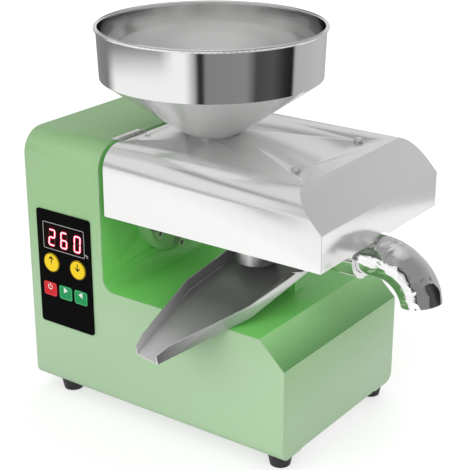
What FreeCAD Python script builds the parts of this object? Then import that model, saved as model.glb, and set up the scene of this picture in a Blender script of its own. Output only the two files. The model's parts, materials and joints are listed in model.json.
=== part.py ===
import FreeCAD, Part
import math
import os
import Sketcher

# A household screw oil press: a green sheet-metal housing with a control column on the left, a stainless
# hood hinged on the column over the press barrel, a hopper on the hood, an oil chute to the front and an
# elbow for the pressed cake on the right.
# X runs from the column to the elbow, -Y is the front with the control panel and Z is up. Sizes are
# millimetres. Positions are measured from the column's left face, the middle of the depth and the
# underside of the housing; place() moves them to the part's origin, the middle of the footprint.

Vector = FreeCAD.Vector
doc = FreeCAD.newDocument("screw_oil_press")
sheet = doc.addObject("Spreadsheet::Sheet", "sizes")


class Size:
    """A length or angle with its value and the sheet expression that gives it."""

    def __init__(self, value, text):
        self.value = value
        self.text = text

    @staticmethod
    def of(other):
        return other if isinstance(other, Size) else Size(other, repr(other))

    def __add__(self, other):
        other = Size.of(other)
        return Size(self.value + other.value, f"({self.text} + {other.text})")

    def __sub__(self, other):
        other = Size.of(other)
        return Size(self.value - other.value, f"({self.text} - {other.text})")

    def __mul__(self, other):
        other = Size.of(other)
        return Size(self.value * other.value, f"({self.text} * {other.text})")

    def __truediv__(self, other):
        other = Size.of(other)
        return Size(self.value / other.value, f"({self.text} / {other.text})")

    def __radd__(self, other):
        return Size.of(other) + self

    def __rsub__(self, other):
        return Size.of(other) - self

    def __rmul__(self, other):
        return Size.of(other) * self

    def __neg__(self):
        return Size(-self.value, f"(0 - {self.text})")


def sine(angle):
    return Size(math.sin(math.radians(angle.value)), f"sin({angle.text})")


def cosine(angle):
    return Size(math.cos(math.radians(angle.value)), f"cos({angle.text})")


def tangent(angle):
    return Size(math.tan(math.radians(angle.value)), f"tan({angle.text})")


def arctangent(ratio):
    return Size(math.degrees(math.atan(ratio.value)), f"(atan({ratio.text}) / 1deg)")


def size(name, value):
    """Write one driving size into the sheet and return it."""
    size.row += 1
    sheet.set(f"A{size.row}", name)
    sheet.set(f"B{size.row}", str(value))
    sheet.setAlias(f"B{size.row}", name)
    return Size(value, f"sizes.{name}")


size.row = 0

# ---- Driving sizes -------------------------------------------------------------------------------

# Housing
housing_length = size("housing_length", 300.0)
housing_depth = size("housing_depth", 200.0)
housing_top = size("housing_top", 260.0)
column_width = size("column_width", 93.3)
floor_level = size("floor_level", 117.0)
slant_run = size("slant_run", 27.0)
slant_drop = size("slant_drop", 25.5)
steel_wall = size("steel_wall", 1.2)
top_roll = size("top_roll", 24.0)
bottom_roll = size("bottom_roll", 10.0)
floor_fold = size("floor_fold", 13.0)
slant_fold = size("slant_fold", 3.0)
flange_width = size("flange_width", 32.0)
base_plate_play = size("base_plate_play", 0.6)
middle_x = size("middle_x", 197.7)
middle_y = size("middle_y", 29.4)

# Feet and their screws
foot_height = size("foot_height", 12.0)
foot_top_radius = size("foot_top_radius", 12.0)
foot_bottom_radius = size("foot_bottom_radius", 9.5)
foot_recess_radius = size("foot_recess_radius", 5.6)
foot_recess_depth = size("foot_recess_depth", 6.0)
foot_x = size("foot_x", 32.0)
foot_end_inset = size("foot_end_inset", 14.0)
foot_side_inset = size("foot_side_inset", 18.0)
foot_screw_radius = size("foot_screw_radius", 2.5)
foot_screw_length = size("foot_screw_length", 16.0)
foot_screw_head = size("foot_screw_head", 4.6)
foot_screw_head_height = size("foot_screw_head_height", 3.5)
foot_screw_crown = size("foot_screw_crown", 3.2)
foot_screw_crown_rise = size("foot_screw_crown_rise", 2.0)
foot_nut_radius = size("foot_nut_radius", 4.0)
foot_nut_height = size("foot_nut_height", 4.0)
screw_play = size("screw_play", 0.25)
through_cut = size("through_cut", 10.0)

# Left end panel, its screws, louvres and inlet
end_screw_radius = size("end_screw_radius", 2.0)
end_screw_inset = size("end_screw_inset", 16.0)
end_screw_low = size("end_screw_low", 18.0)
end_screw_drop = size("end_screw_drop", 26.0)
end_screw_length = size("end_screw_length", 8.0)
end_screw_head = size("end_screw_head", 3.8)
end_screw_head_height = size("end_screw_head_height", 2.0)
end_screw_head_edge = size("end_screw_head_edge", 1.0)
louvre_length = size("louvre_length", 44.0)
louvre_height = size("louvre_height", 3.2)
louvre_pitch_z = size("louvre_pitch_z", 10.0)
louvre_pitch_y = size("louvre_pitch_y", 60.0)
louvre_low = size("louvre_low", 96.0)
louvre_count = 10
inlet_width = size("inlet_width", 27.0)
inlet_height = size("inlet_height", 20.0)
inlet_depth = size("inlet_depth", 24.0)
inlet_rim = size("inlet_rim", 3.5)
inlet_rim_depth = size("inlet_rim_depth", 2.5)
inlet_inset = size("inlet_inset", 48.0)
inlet_z = size("inlet_z", 42.0)
inlet_wall = size("inlet_wall", 2.0)
inlet_floor = size("inlet_floor", 6.0)
inlet_pin_radius = size("inlet_pin_radius", 1.2)
inlet_pin_length = size("inlet_pin_length", 14.0)
inlet_pin_pitch = size("inlet_pin_pitch", 7.0)
inlet_earth_rise = size("inlet_earth_rise", 2.4)
inlet_pin_drop = size("inlet_pin_drop", 1.2)

# Base plate vents
vent_inset = size("vent_inset", 55.0)
vent_width = size("vent_width", 3.5)
vent_pitch = size("vent_pitch", 10.0)
vent_start = size("vent_start", 112.0)
vent_count = 12

# Press barrel and what holds it
axis_level = size("axis_level", 177.7)
barrel_radius = size("barrel_radius", 23.4)
barrel_bore = size("barrel_bore", 17.0)
barrel_end = size("barrel_end", 303.0)
spigot_radius = size("spigot_radius", 22.0)
spigot_length = size("spigot_length", 12.0)
boss_radius = size("boss_radius", 48.0)
boss_thickness = size("boss_thickness", 12.0)
boss_round = size("boss_round", 4.0)
boss_bolt_circle = size("boss_bolt_circle", 39.0)
boss_bolt_radius = size("boss_bolt_radius", 3.0)
boss_bolt_head = size("boss_bolt_head", 5.0)
boss_bolt_head_height = size("boss_bolt_head_height", 6.0)
boss_bolt_count = 6
boss_bolt_start = size("boss_bolt_start", 30.0)
boss_bolt_socket = size("boss_bolt_socket", 2.5)
boss_bolt_socket_depth = size("boss_bolt_socket_depth", 3.0)
barrel_plug_radius = size("barrel_plug_radius", 28.0)
feed_x = size("feed_x", 150.0)
feed_radius = size("feed_radius", 24.0)
feed_bore = size("feed_bore", 20.0)
feed_top = size("feed_top", 232.0)
slot_width = size("slot_width", 1.2)
slot_pitch = size("slot_pitch", 3.6)
slot_span = size("slot_span", 22.0)
slot_count = 8

# Nut that holds the elbow
nut_radius = size("nut_radius", 24.5)
nut_lip = size("nut_lip", 3.0)
nut_groove_radius = size("nut_groove_radius", 2.0)
nut_groove_count = 8

# Outlet elbow
tube_radius = size("tube_radius", 19.05)
tube_wall = size("tube_wall", 1.2)
tube_straight_end = size("tube_straight_end", 336.5)
bend_radius = size("bend_radius", 43.6)
bend_angle = size("bend_angle", 78.3)
collar_radius = size("collar_radius", 21.6)
collar_thickness = size("collar_thickness", 2.0)
moving_gap = size("moving_gap", 0.35)

# Oil sleeve and heater band
sleeve_radius = size("sleeve_radius", 19.4)
sleeve_wall = size("sleeve_wall", 1.5)
sleeve_x = size("sleeve_x", 208.7)
sleeve_y = size("sleeve_y", -10.0)
sleeve_bottom = size("sleeve_bottom", 147.1)
sleeve_top = size("sleeve_top", 172.0)
heater_start = size("heater_start", 236.0)
heater_width = size("heater_width", 34.0)
heater_thickness = size("heater_thickness", 3.5)
heater_box_width = size("heater_box_width", 16.0)
heater_box_height = size("heater_box_height", 9.0)

# Press screw, bearing, gear case and motor
screw_tip = size("screw_tip", 309.0)
screw_root_start = size("screw_root_start", 8.0)
screw_root_end = size("screw_root_end", 13.0)
flight_pitch = size("flight_pitch", 22.0)
flight_width = size("flight_width", 5.0)
flight_flank = size("flight_flank", 1.0)
flight_root = size("flight_root", 7.0)
flight_gap = size("flight_gap", 0.4)
flight_start = size("flight_start", 122.0)
flight_length = size("flight_length", 172.0)
shaft_radius = size("shaft_radius", 10.0)
shaft_play = size("shaft_play", 0.05)
bearing_radius = size("bearing_radius", 21.0)
bearing_width = size("bearing_width", 12.0)
case_start = size("case_start", 34.0)
case_width = size("case_width", 46.0)
case_radius = size("case_radius", 44.0)
case_nose_radius = size("case_nose_radius", 34.0)
shaft_pocket = size("shaft_pocket", 24.0)
motor_level = size("motor_level", 60.0)
motor_radius = size("motor_radius", 41.0)
motor_length = size("motor_length", 128.0)
motor_bell_radius = size("motor_bell_radius", 36.0)
motor_bell_length = size("motor_bell_length", 14.0)
bracket_x = size("bracket_x", 120.0)
bracket_length = size("bracket_length", 60.0)
bracket_half_width = size("bracket_half_width", 46.0)
bracket_height = size("bracket_height", 34.0)
bracket_arch_half_width = size("bracket_arch_half_width", 27.6)

# Hood, also called the cover
cover_start = size("cover_start", 101.0)
cover_end = size("cover_end", 336.0)
cover_depth = size("cover_depth", 204.0)
cover_top = size("cover_top", 261.0)
cover_bottom = size("cover_bottom", 195.0)
cover_slope_start = size("cover_slope_start", 304.5)
cover_slope_end_level = size("cover_slope_end_level", 228.6)
cover_wall = size("cover_wall", 1.0)
cover_roll = size("cover_roll", 22.0)
notch_radius = size("notch_radius", 22.0)
cover_screw_x = size("cover_screw_x", 279.0)
cover_screw_inset = size("cover_screw_inset", 49.5)
cover_screw_radius = size("cover_screw_radius", 2.5)
cover_screw_head = size("cover_screw_head", 4.65)
cover_screw_head_height = size("cover_screw_head_height", 2.6)
cover_screw_head_edge = size("cover_screw_head_edge", 1.0)
cover_screw_crown = size("cover_screw_crown", 3.0)
cover_screw_length = size("cover_screw_length", 10.0)
rest_thickness = size("rest_thickness", 1.5)
rest_inset = size("rest_inset", 40.0)
rest_flange = size("rest_flange", 16.0)

# Hinges
hinge_x = size("hinge_x", 97.2)
hinge_inset = size("hinge_inset", 24.5)
hinge_length = size("hinge_length", 39.0)
knuckle_radius = size("knuckle_radius", 2.4)
pin_radius = size("pin_radius", 1.2)
pin_play = size("pin_play", 0.05)
leaf_thickness = size("leaf_thickness", 1.0)
column_leaf_width = size("column_leaf_width", 8.7)
cover_leaf_width = size("cover_leaf_width", 18.0)
knuckle_gap = size("knuckle_gap", 0.35)
rivet_x = size("rivet_x", 109.6)
rivet_pitch = size("rivet_pitch", 18.2)
rivet_radius = size("rivet_radius", 1.5)
rivet_head_radius = size("rivet_head_radius", 2.6)
rivet_head_height = size("rivet_head_height", 1.0)
rivet_crown = size("rivet_crown", 1.8)
rivet_tail_radius = size("rivet_tail_radius", 2.1)

# Hopper
hopper_neck_radius = size("hopper_neck_radius", 27.5)
hopper_spigot_radius = size("hopper_spigot_radius", 26.0)
hopper_spigot_bottom = size("hopper_spigot_bottom", 236.5)
hopper_fold_radius = size("hopper_fold_radius", 104.6)
hopper_fold_level = size("hopper_fold_level", 315.6)
hopper_rim_radius = size("hopper_rim_radius", 106.4)
hopper_rim_level = size("hopper_rim_level", 362.0)
hopper_bead_radius = size("hopper_bead_radius", 1.9)
hopper_wall = size("hopper_wall", 0.9)

# Chute: a loose tray that lies on the front edge and on a rest under the barrel
chute_x = size("chute_x", 207.3)
chute_yaw = size("chute_yaw", 7.4)
chute_pitch = size("chute_pitch", 14.5)
chute_half_width = size("chute_half_width", 39.4)
chute_mouth_half_width = size("chute_mouth_half_width", 13.1)
chute_wall = size("chute_wall", 1.0)
chute_height = size("chute_height", 13.1)
chute_mouth_height = size("chute_mouth_height", 9.5)
chute_mouth_reach = size("chute_mouth_reach", 65.6)
chute_bend_reach = size("chute_bend_reach", 27.9)
chute_rear_reach = size("chute_rear_reach", 118.0)
chute_low_start = size("chute_low_start", 88.0)
chute_rear_height = size("chute_rear_height", 5.0)
chute_lip_width = size("chute_lip_width", 4.5)
chute_rest_reach = size("chute_rest_reach", 102.0)
chute_rest_half_width = size("chute_rest_half_width", 36.0)
chute_rest_foot = size("chute_rest_foot", 14.0)

# Control panel
panel_left = size("panel_left", 12.6)
panel_width = size("panel_width", 68.1)
panel_bottom = size("panel_bottom", 66.0)
panel_height = size("panel_height", 119.0)
panel_round = size("panel_round", 3.0)
panel_thickness = size("panel_thickness", 1.5)
panel_window_margin = size("panel_window_margin", 3.0)
display_left = size("display_left", 21.0)
display_width = size("display_width", 51.6)
display_bottom = size("display_bottom", 146.0)
display_height = size("display_height", 26.4)
display_depth = size("display_depth", 6.0)
key_travel = size("key_travel", 0.8)
key_proud = size("key_proud", 0.6)
key_play = size("key_play", 0.35)
key_skirt = size("key_skirt", 1.4)
key_skirt_thickness = size("key_skirt_thickness", 1.0)
round_key_radius = size("round_key_radius", 9.75)
round_key_level = size("round_key_level", 131.3)
up_key_x = size("up_key_x", 29.6)
down_key_x = size("down_key_x", 63.6)
square_key_width = size("square_key_width", 16.4)
square_key_height = size("square_key_height", 14.2)
square_key_round = size("square_key_round", 2.5)
square_key_level = size("square_key_level", 102.9)
power_key_x = size("power_key_x", 26.5)
forward_key_x = size("forward_key_x", 46.6)
reverse_key_x = size("reverse_key_x", 66.3)
board_thickness = size("board_thickness", 1.6)
board_setback = size("board_setback", 9.0)
board_margin = size("board_margin", 7.0)
switch_size = size("switch_size", 6.0)
standoff_radius = size("standoff_radius", 2.2)
standoff_inset = size("standoff_inset", 2.8)
display_socket_inset = size("display_socket_inset", 2.5)

half_depth = housing_depth / 2
inner_half_depth = half_depth - steel_wall
inner_top = housing_top - steel_wall
inner_wall_x = column_width - steel_wall
slant_start = housing_length - slant_run
slant_end_level = floor_level - slant_drop
slant_angle = arctangent(slant_drop / slant_run)
boss_face = column_width + boss_thickness
panel_face = -half_depth - panel_thickness
hinge_level = housing_top + leaf_thickness / 2
foot_pitch_x = housing_length - foot_x - foot_end_inset
foot_y = half_depth - foot_side_inset
end_screw_y = half_depth - end_screw_inset
end_screw_pitch = (housing_top - end_screw_low - end_screw_drop) / 2
inlet_y = half_depth - inlet_inset
cover_screw_y = cover_depth / 2 - cover_screw_inset
rest_half_width = cover_depth / 2 - rest_inset
hinge_y = cover_depth / 2 - cover_roll - hinge_inset
chute_rest_y = chute_rest_reach - half_depth
KEYS = {
    "up_key": (up_key_x, round_key_level, True),
    "down_key": (down_key_x, round_key_level, True),
    "power_key": (power_key_x, square_key_level, False),
    "forward_key": (forward_key_x, square_key_level, False),
    "reverse_key": (reverse_key_x, square_key_level, False),
}

parts = []


# ---- Small tools for bodies and sketches ---------------------------------------------------------

def bind(thing, name, length):
    """Tie a property of a feature to the sheet."""
    length = Size.of(length)
    thing.setExpression(name, length.text)


def place(thing, x=0, y=0, z=0):
    """Put a sub-part at a point of the housing, seen from the part's origin."""
    bind(thing, "Placement.Base.x", x - middle_x)
    bind(thing, "Placement.Base.y", y + middle_y)
    bind(thing, "Placement.Base.z", z + foot_height)


def new_body(label, x=0, y=0, z=0):
    body = doc.addObject("PartDesign::Body", label)
    body.Label = label
    place(body, x, y, z)
    parts.append(body)
    return body


def plane_of(body, role):
    return next(item for item in body.Origin.OriginFeatures if item.Role == role)


def new_sketch(body, role, shift=0):
    """A sketch on one of the body's own planes, shifted along the plane's normal."""
    sketch = body.newObject("Sketcher::SketchObject", f"{body.Label}_sketch")
    sketch.AttachmentSupport = [(plane_of(body, role), "")]
    sketch.MapMode = "FlatFace"
    bind(sketch, "AttachmentOffset.Base.z", shift)
    return sketch


def pin_coordinate(sketch, edge, end, kind, coordinate):
    """Tie one coordinate of a sketch edge's end, or of its centre, to the sheet."""
    coordinate = Size.of(coordinate)
    number = sketch.addConstraint(Sketcher.Constraint(kind, -1, 1, edge, end, coordinate.value))
    sketch.setExpression(f"Constraints[{number}]", coordinate.text)


def pin_point(sketch, edge, end, point):
    pin_coordinate(sketch, edge, end, "DistanceX", point[0])
    pin_coordinate(sketch, edge, end, "DistanceY", point[1])


def corner_of(points, index):
    """Where an outline enters and leaves a corner, and the centre of its rounding if it has one."""
    x, y = points[index][:2]
    if len(points[index]) == 2:
        return (x, y), (x, y), None
    radius = points[index][2]
    steps = []
    for neighbour in (points[index - 1], points[(index + 1) % len(points)]):
        along_x = Size.of(neighbour[0]).value - Size.of(x).value
        along_y = Size.of(neighbour[1]).value - Size.of(y).value
        far = max(abs(along_x), abs(along_y))
        steps.append((round(along_x / far), round(along_y / far)))
    (back_x, back_y), (on_x, on_y) = steps
    entry = (x + radius * back_x, y + radius * back_y)
    leave = (x + radius * on_x, y + radius * on_y)
    return entry, leave, (x + radius * (back_x + on_x), y + radius * (back_y + on_y))


def flat(point):
    return Vector(Size.of(point[0]).value, Size.of(point[1]).value, 0)


def outline(sketch, points):
    """A closed outline through the given points; a third number rounds a square corner."""
    corners = [corner_of(points, index) for index in range(len(points))]
    lines = []
    for (_, leave, _), (entry, _, _) in zip(corners, corners[1:] + corners[:1]):
        lines.append(sketch.addGeometry(Part.LineSegment(flat(leave), flat(entry)), False))
    for index, (entry, leave, centre) in enumerate(corners):
        before, after = lines[index - 1], lines[index]
        pin_point(sketch, after, 1, leave)
        if centre is None:
            sketch.addConstraint(Sketcher.Constraint("Coincident", before, 2, after, 1))
            continue
        pin_point(sketch, before, 2, entry)
        middle = flat(centre)
        spokes = [flat(entry) - middle, flat(leave) - middle]
        turns_left = spokes[0].cross(spokes[1]).z > 0
        if not turns_left:
            spokes.reverse()
        angles = [math.atan2(spoke.y, spoke.x) for spoke in spokes]
        ring = Part.Circle(middle, Vector(0, 0, 1), spokes[0].Length)
        arc = sketch.addGeometry(Part.ArcOfCircle(ring, angles[0], angles[1]), False)
        first, last = (1, 2) if turns_left else (2, 1)
        sketch.addConstraint(Sketcher.Constraint("Coincident", before, 2, arc, first))
        sketch.addConstraint(Sketcher.Constraint("Coincident", after, 1, arc, last))
        pin_coordinate(sketch, arc, 3, "DistanceX", centre[0])
    return sketch


def rectangle(sketch, left, bottom, width, height, top_radius=None, bottom_radius=None):
    """A rectangle whose upper and lower corners can be rounded."""
    right = left + width
    top = bottom + height
    lower = () if bottom_radius is None else (bottom_radius,)
    upper = () if top_radius is None else (top_radius,)
    return outline(sketch, [
        (left, bottom, *lower),
        (right, bottom, *lower),
        (right, top, *upper),
        (left, top, *upper),
    ])


def circle(sketch, x, y, radius):
    x, y, radius = Size.of(x), Size.of(y), Size.of(radius)
    shape = Part.Circle(Vector(x.value, y.value, 0), Vector(0, 0, 1), radius.value)
    edge = sketch.addGeometry(shape, False)
    number = sketch.addConstraint(Sketcher.Constraint("Radius", edge, radius.value))
    sketch.setExpression(f"Constraints[{number}]", radius.text)
    pin_point(sketch, edge, 3, (x, y))
    return sketch


def extrude(body, kind, sketch, length, both_ways, backwards):
    feature = body.newObject(f"PartDesign::{kind}", f"{body.Label}_{kind.lower()}")
    feature.Profile = sketch
    bind(feature, "Length", length)
    if both_ways:
        feature.SideType = "Symmetric"
    feature.Reversed = backwards
    doc.recompute()
    return feature


def pad(body, sketch, length, both_ways=False, backwards=False):
    return extrude(body, "Pad", sketch, length, both_ways, backwards)


def pocket(body, sketch, length, both_ways=False, backwards=False):
    """Cut a profile out; a cut that removes nothing is an error."""
    before = body.Shape.Volume
    feature = extrude(body, "Pocket", sketch, length, both_ways, backwards)
    if body.Shape.Volume > before - 1e-6:
        raise ValueError(f"a pocket of {body.Label} cuts nothing")
    return feature


def turn(body, kind, sketch, axis):
    feature = body.newObject(f"PartDesign::{kind}", f"{body.Label}_{kind.lower()}")
    feature.Profile = sketch
    feature.ReferenceAxis = (sketch, [axis])
    feature.Angle = 360
    doc.recompute()
    return feature


def revolve(body, sketch, axis="V_Axis"):
    return turn(body, "Revolution", sketch, axis)


def row(body, originals, sketch, axis, length, count, second=None):
    """Repeat features along a sketch axis, and along a second one where it is given."""
    feature = body.newObject("PartDesign::LinearPattern", f"{body.Label}_row")
    feature.Originals = originals
    feature.Direction = (sketch, [axis])
    bind(feature, "Length", length)
    feature.Occurrences = count
    if second:
        second_axis, second_length, second_count = second
        feature.Direction2 = (sketch, [second_axis])
        bind(feature, "Length2", second_length)
        feature.Occurrences2 = second_count
    body.Tip = feature
    doc.recompute()
    return feature


def circle_of(body, originals, axis_sketch, axis, count):
    """Repeat features around an axis."""
    feature = body.newObject("PartDesign::PolarPattern", f"{body.Label}_circle")
    feature.Originals = originals
    feature.Axis = (axis_sketch, [axis])
    feature.Angle = 360
    feature.Occurrences = count
    body.Tip = feature
    doc.recompute()
    return feature


def edges_at(body, along, **where):
    """Names of the straight edges along one axis whose middle lies at the given coordinates."""
    names = []
    for number, edge in enumerate(body.Shape.Edges, 1):
        direction = edge.Vertexes[-1].Point - edge.Vertexes[0].Point
        if direction.Length < edge.Length * 0.9999:
            continue
        direction.normalize()
        if abs(abs(getattr(direction, along)) - 1) > 1e-6:
            continue
        middle = body.Placement.inverse().multVec(edge.CenterOfMass)
        spots = [
            any(abs(getattr(middle, axis) - Size.of(spot).value) < 0.01 for spot in at)
            for axis, at in where.items()
        ]
        if all(spots):
            names.append(f"Edge{number}")
    return names


def round_edges(body, radius, along, **where):
    """Round the edges that edges_at finds; finding none is an error."""
    names = edges_at(body, along, **where)
    if not names:
        raise ValueError(f"{body.Label} has no edge along {along} at {where}")
    base = body.Tip
    feature = body.newObject("PartDesign::Fillet", f"{body.Label}_fillet")
    feature.Base = (base, names)
    bind(feature, "Radius", radius)
    doc.recompute()
    return feature


# ---- Housing -------------------------------------------------------------------------------------

def casing():
    """Front, top and back in one bent sheet, cut down to the floor right of the column."""
    body = new_body("casing")
    shape = new_sketch(body, "YZ_Plane")
    base = Size.of(0)
    rectangle(shape, -half_depth, base, housing_depth, housing_top, top_roll, bottom_roll)
    pad(body, shape, housing_length)
    hollow = new_sketch(body, "YZ_Plane")
    inside_housing(hollow)
    pocket(body, hollow, housing_length, backwards=True)
    opening = new_sketch(body, "XY_Plane")
    gap_half = half_depth - flange_width
    rectangle(opening, Size.of(0), -gap_half, housing_length, gap_half * 2)
    pocket(body, opening, through_cut, both_ways=True)
    notch = new_sketch(body, "XZ_Plane")
    outline(notch, [
        (column_width, housing_top + steel_wall),
        (column_width, floor_level),
        (slant_start, floor_level),
        (housing_length, slant_end_level),
        (housing_length + steel_wall, slant_end_level),
        (housing_length + steel_wall, housing_top + steel_wall),
    ])
    pocket(body, notch, housing_depth * 2, both_ways=True)
    round_edges(body, floor_fold, "y", x=[column_width], z=[floor_level])
    window = new_sketch(body, "XZ_Plane", half_depth)
    rectangle(
        window,
        panel_left + panel_window_margin,
        panel_bottom + panel_window_margin,
        panel_width - panel_window_margin * 2,
        panel_height - panel_window_margin * 2,
    )
    pocket(body, window, steel_wall)
    foot_holes(body)


def inside_housing(sketch):
    """The clear section of the casing, rolled like its walls."""
    rectangle(
        sketch, -inner_half_depth, steel_wall, inner_half_depth * 2, inner_top - steel_wall,
        top_roll - steel_wall, bottom_roll - steel_wall,
    )


def foot_holes(body):
    """Four clearance holes for the foot screws."""
    holes = new_sketch(body, "XY_Plane")
    for x in (foot_x, foot_x + foot_pitch_x):
        for y in (-foot_y, foot_y):
            circle(holes, x, y, foot_screw_radius + screw_play)
    pocket(body, holes, through_cut, both_ways=True)


def inner_panel():
    """Column wall, floor, slant and right end in one bent sheet between the casing's walls."""
    body = new_body("inner_panel")
    profile = new_sketch(body, "XZ_Plane")
    half_turn = steel_wall * tangent(slant_angle / 2)
    end_turn = steel_wall * tangent((90 - slant_angle) / 2)
    outline(profile, [
        (column_width, inner_top),
        (column_width, floor_level),
        (slant_start, floor_level),
        (housing_length, slant_end_level),
        (housing_length, steel_wall),
        (housing_length - steel_wall, steel_wall),
        (housing_length - steel_wall, slant_end_level - end_turn),
        (slant_start - half_turn, floor_level - steel_wall),
        (inner_wall_x, floor_level - steel_wall),
        (inner_wall_x, inner_top),
    ])
    pad(body, profile, inner_half_depth * 2, both_ways=True)
    round_edges(body, floor_fold, "y", x=[column_width], z=[floor_level])
    round_edges(body, floor_fold + steel_wall, "y", x=[inner_wall_x], z=[floor_level - steel_wall])
    round_edges(body, slant_fold, "y", x=[slant_start], z=[floor_level])
    walls = [-inner_half_depth, inner_half_depth]
    round_edges(body, top_roll - steel_wall, "x", y=walls, z=[inner_top])
    round_edges(body, bottom_roll - steel_wall, "x", y=walls, z=[steel_wall])
    hole = new_sketch(body, "YZ_Plane", inner_wall_x)
    circle(hole, 0, axis_level, case_nose_radius)
    for bolt in range(boss_bolt_count):
        turned = boss_bolt_start + 360.0 / boss_bolt_count * bolt
        bolt_y = boss_bolt_circle * cosine(turned)
        bolt_z = axis_level + boss_bolt_circle * sine(turned)
        circle(hole, bolt_y, bolt_z, boss_bolt_radius + screw_play)
    pocket(body, hole, steel_wall, backwards=True)


def end_panel():
    """Left end with two rows of louvres and the cut-out for the inlet."""
    body = new_body("end_panel")
    shape = new_sketch(body, "YZ_Plane")
    inside_housing(shape)
    pad(body, shape, steel_wall)
    holes = new_sketch(body, "YZ_Plane")
    for y in (-end_screw_y, end_screw_y):
        for step in (0, 1, 2):
            circle(holes, y, end_screw_low + end_screw_pitch * step, end_screw_radius + screw_play)
    rectangle(
        holes,
        inlet_y - inlet_width / 2,
        inlet_z - inlet_height / 2,
        inlet_width,
        inlet_height,
    )
    pocket(body, holes, steel_wall, backwards=True)
    slot = new_sketch(body, "YZ_Plane")
    slot_left = -(louvre_pitch_y + louvre_length) / 2
    rectangle(slot, slot_left, louvre_low, louvre_length, louvre_height)
    cut = pocket(body, slot, steel_wall, backwards=True)
    rows = ("V_Axis", louvre_pitch_z * (louvre_count - 1), louvre_count)
    row(body, [cut], slot, "H_Axis", louvre_pitch_y, 2, rows)


def end_panel_screws():
    """Six screws through the left end panel."""
    body = new_body("end_panel_screws", 0, -end_screw_y, end_screw_low)
    shape = new_sketch(body, "XZ_Plane")
    outline(shape, [
        (-end_screw_head_height, 0),
        (-end_screw_head_edge, end_screw_head),
        (0, end_screw_head),
        (0, end_screw_radius),
        (end_screw_length, end_screw_radius),
        (end_screw_length, 0),
    ])
    screw = revolve(body, shape, "H_Axis")
    grid = new_sketch(body, "YZ_Plane")
    columns = ("V_Axis", end_screw_pitch * 2, 3)
    row(body, [screw], grid, "H_Axis", end_screw_y * 2, 2, columns)


def power_inlet():
    """Appliance inlet with three pins, set into the left end panel."""
    body = new_body("power_inlet", 0, inlet_y, inlet_z)
    rim = new_sketch(body, "YZ_Plane", -inlet_rim_depth)
    rim_width = inlet_width + inlet_rim * 2
    rim_height = inlet_height + inlet_rim * 2
    corner = inlet_rim
    rectangle(rim, -rim_width / 2, -rim_height / 2, rim_width, rim_height, corner, corner)
    pad(body, rim, inlet_rim_depth)
    block = new_sketch(body, "YZ_Plane")
    rectangle(block, -inlet_width / 2, -inlet_height / 2, inlet_width, inlet_height)
    pad(body, block, inlet_depth)
    well = new_sketch(body, "YZ_Plane", -inlet_rim_depth)
    well_width = inlet_width - inlet_wall * 2
    well_height = inlet_height - inlet_wall * 2
    rectangle(well, -well_width / 2, -well_height / 2, well_width, well_height)
    pocket(body, well, inlet_rim_depth + inlet_depth - inlet_floor, backwards=True)
    pins = new_sketch(body, "YZ_Plane", inlet_depth - inlet_floor)
    circle(pins, 0, inlet_earth_rise, inlet_pin_radius)
    circle(pins, -inlet_pin_pitch, -inlet_pin_drop, inlet_pin_radius)
    circle(pins, inlet_pin_pitch, -inlet_pin_drop, inlet_pin_radius)
    pad(body, pins, inlet_pin_length, backwards=True)


def base_plate():
    """Vented plate that closes the housing from below, lying on the casing's flanges."""
    body = new_body("base_plate")
    inset = steel_wall + base_plate_play
    half = inner_half_depth - bottom_roll
    shape = new_sketch(body, "XY_Plane", steel_wall)
    rectangle(shape, inset, -half, housing_length - inset * 2, half * 2)
    pad(body, shape, steel_wall)
    slot = new_sketch(body, "XY_Plane", steel_wall)
    rectangle(slot, vent_start, vent_inset - half_depth, vent_width, housing_depth - vent_inset * 2)
    cut = pocket(body, slot, steel_wall, backwards=True)
    row(body, [cut], slot, "H_Axis", vent_pitch * (vent_count - 1), vent_count)
    foot_holes(body)


def feet():
    """Four rubber feet with a recess for their screw."""
    body = new_body("feet", foot_x, -foot_y, 0)
    shape = new_sketch(body, "XZ_Plane")
    hole = foot_screw_radius + screw_play
    recess_top = foot_recess_depth - foot_height
    outline(shape, [
        (hole, 0),
        (foot_top_radius, 0),
        (foot_bottom_radius, -foot_height),
        (foot_recess_radius, -foot_height),
        (foot_recess_radius, recess_top),
        (hole, recess_top),
    ])
    foot = revolve(body, shape)
    four_times(body, foot)


def four_times(body, feature):
    grid = new_sketch(body, "XY_Plane")
    row(body, [feature], grid, "H_Axis", foot_pitch_x, 2, ("V_Axis", foot_y * 2, 2))


def foot_screws():
    """Screws with their nuts that hold the feet, the casing's flanges and the base plate together."""
    body = new_body("foot_screws", foot_x, -foot_y, 0)
    shape = new_sketch(body, "XZ_Plane")
    head_seat = foot_recess_depth - foot_height
    nut_seat = steel_wall * 2
    outline(shape, [
        (0, head_seat - foot_screw_head_height),
        (foot_screw_crown, head_seat - foot_screw_head_height),
        (foot_screw_head, head_seat - foot_screw_crown_rise),
        (foot_screw_head, head_seat),
        (foot_screw_radius, head_seat),
        (foot_screw_radius, nut_seat),
        (foot_nut_radius, nut_seat),
        (foot_nut_radius, nut_seat + foot_nut_height),
        (foot_screw_radius, nut_seat + foot_nut_height),
        (foot_screw_radius, head_seat + foot_screw_length),
        (0, head_seat + foot_screw_length),
    ])
    four_times(body, revolve(body, shape))


# ---- Control panel -------------------------------------------------------------------------------

def key_outline(sketch, x, z, is_round, margin):
    """The outline of one key, grown by a margin."""
    if is_round:
        circle(sketch, x, z, round_key_radius + margin)
    else:
        width = square_key_width + margin * 2
        height = square_key_height + margin * 2
        corner = square_key_round + margin
        rectangle(sketch, x - width / 2, z - height / 2, width, height, corner, corner)


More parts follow.
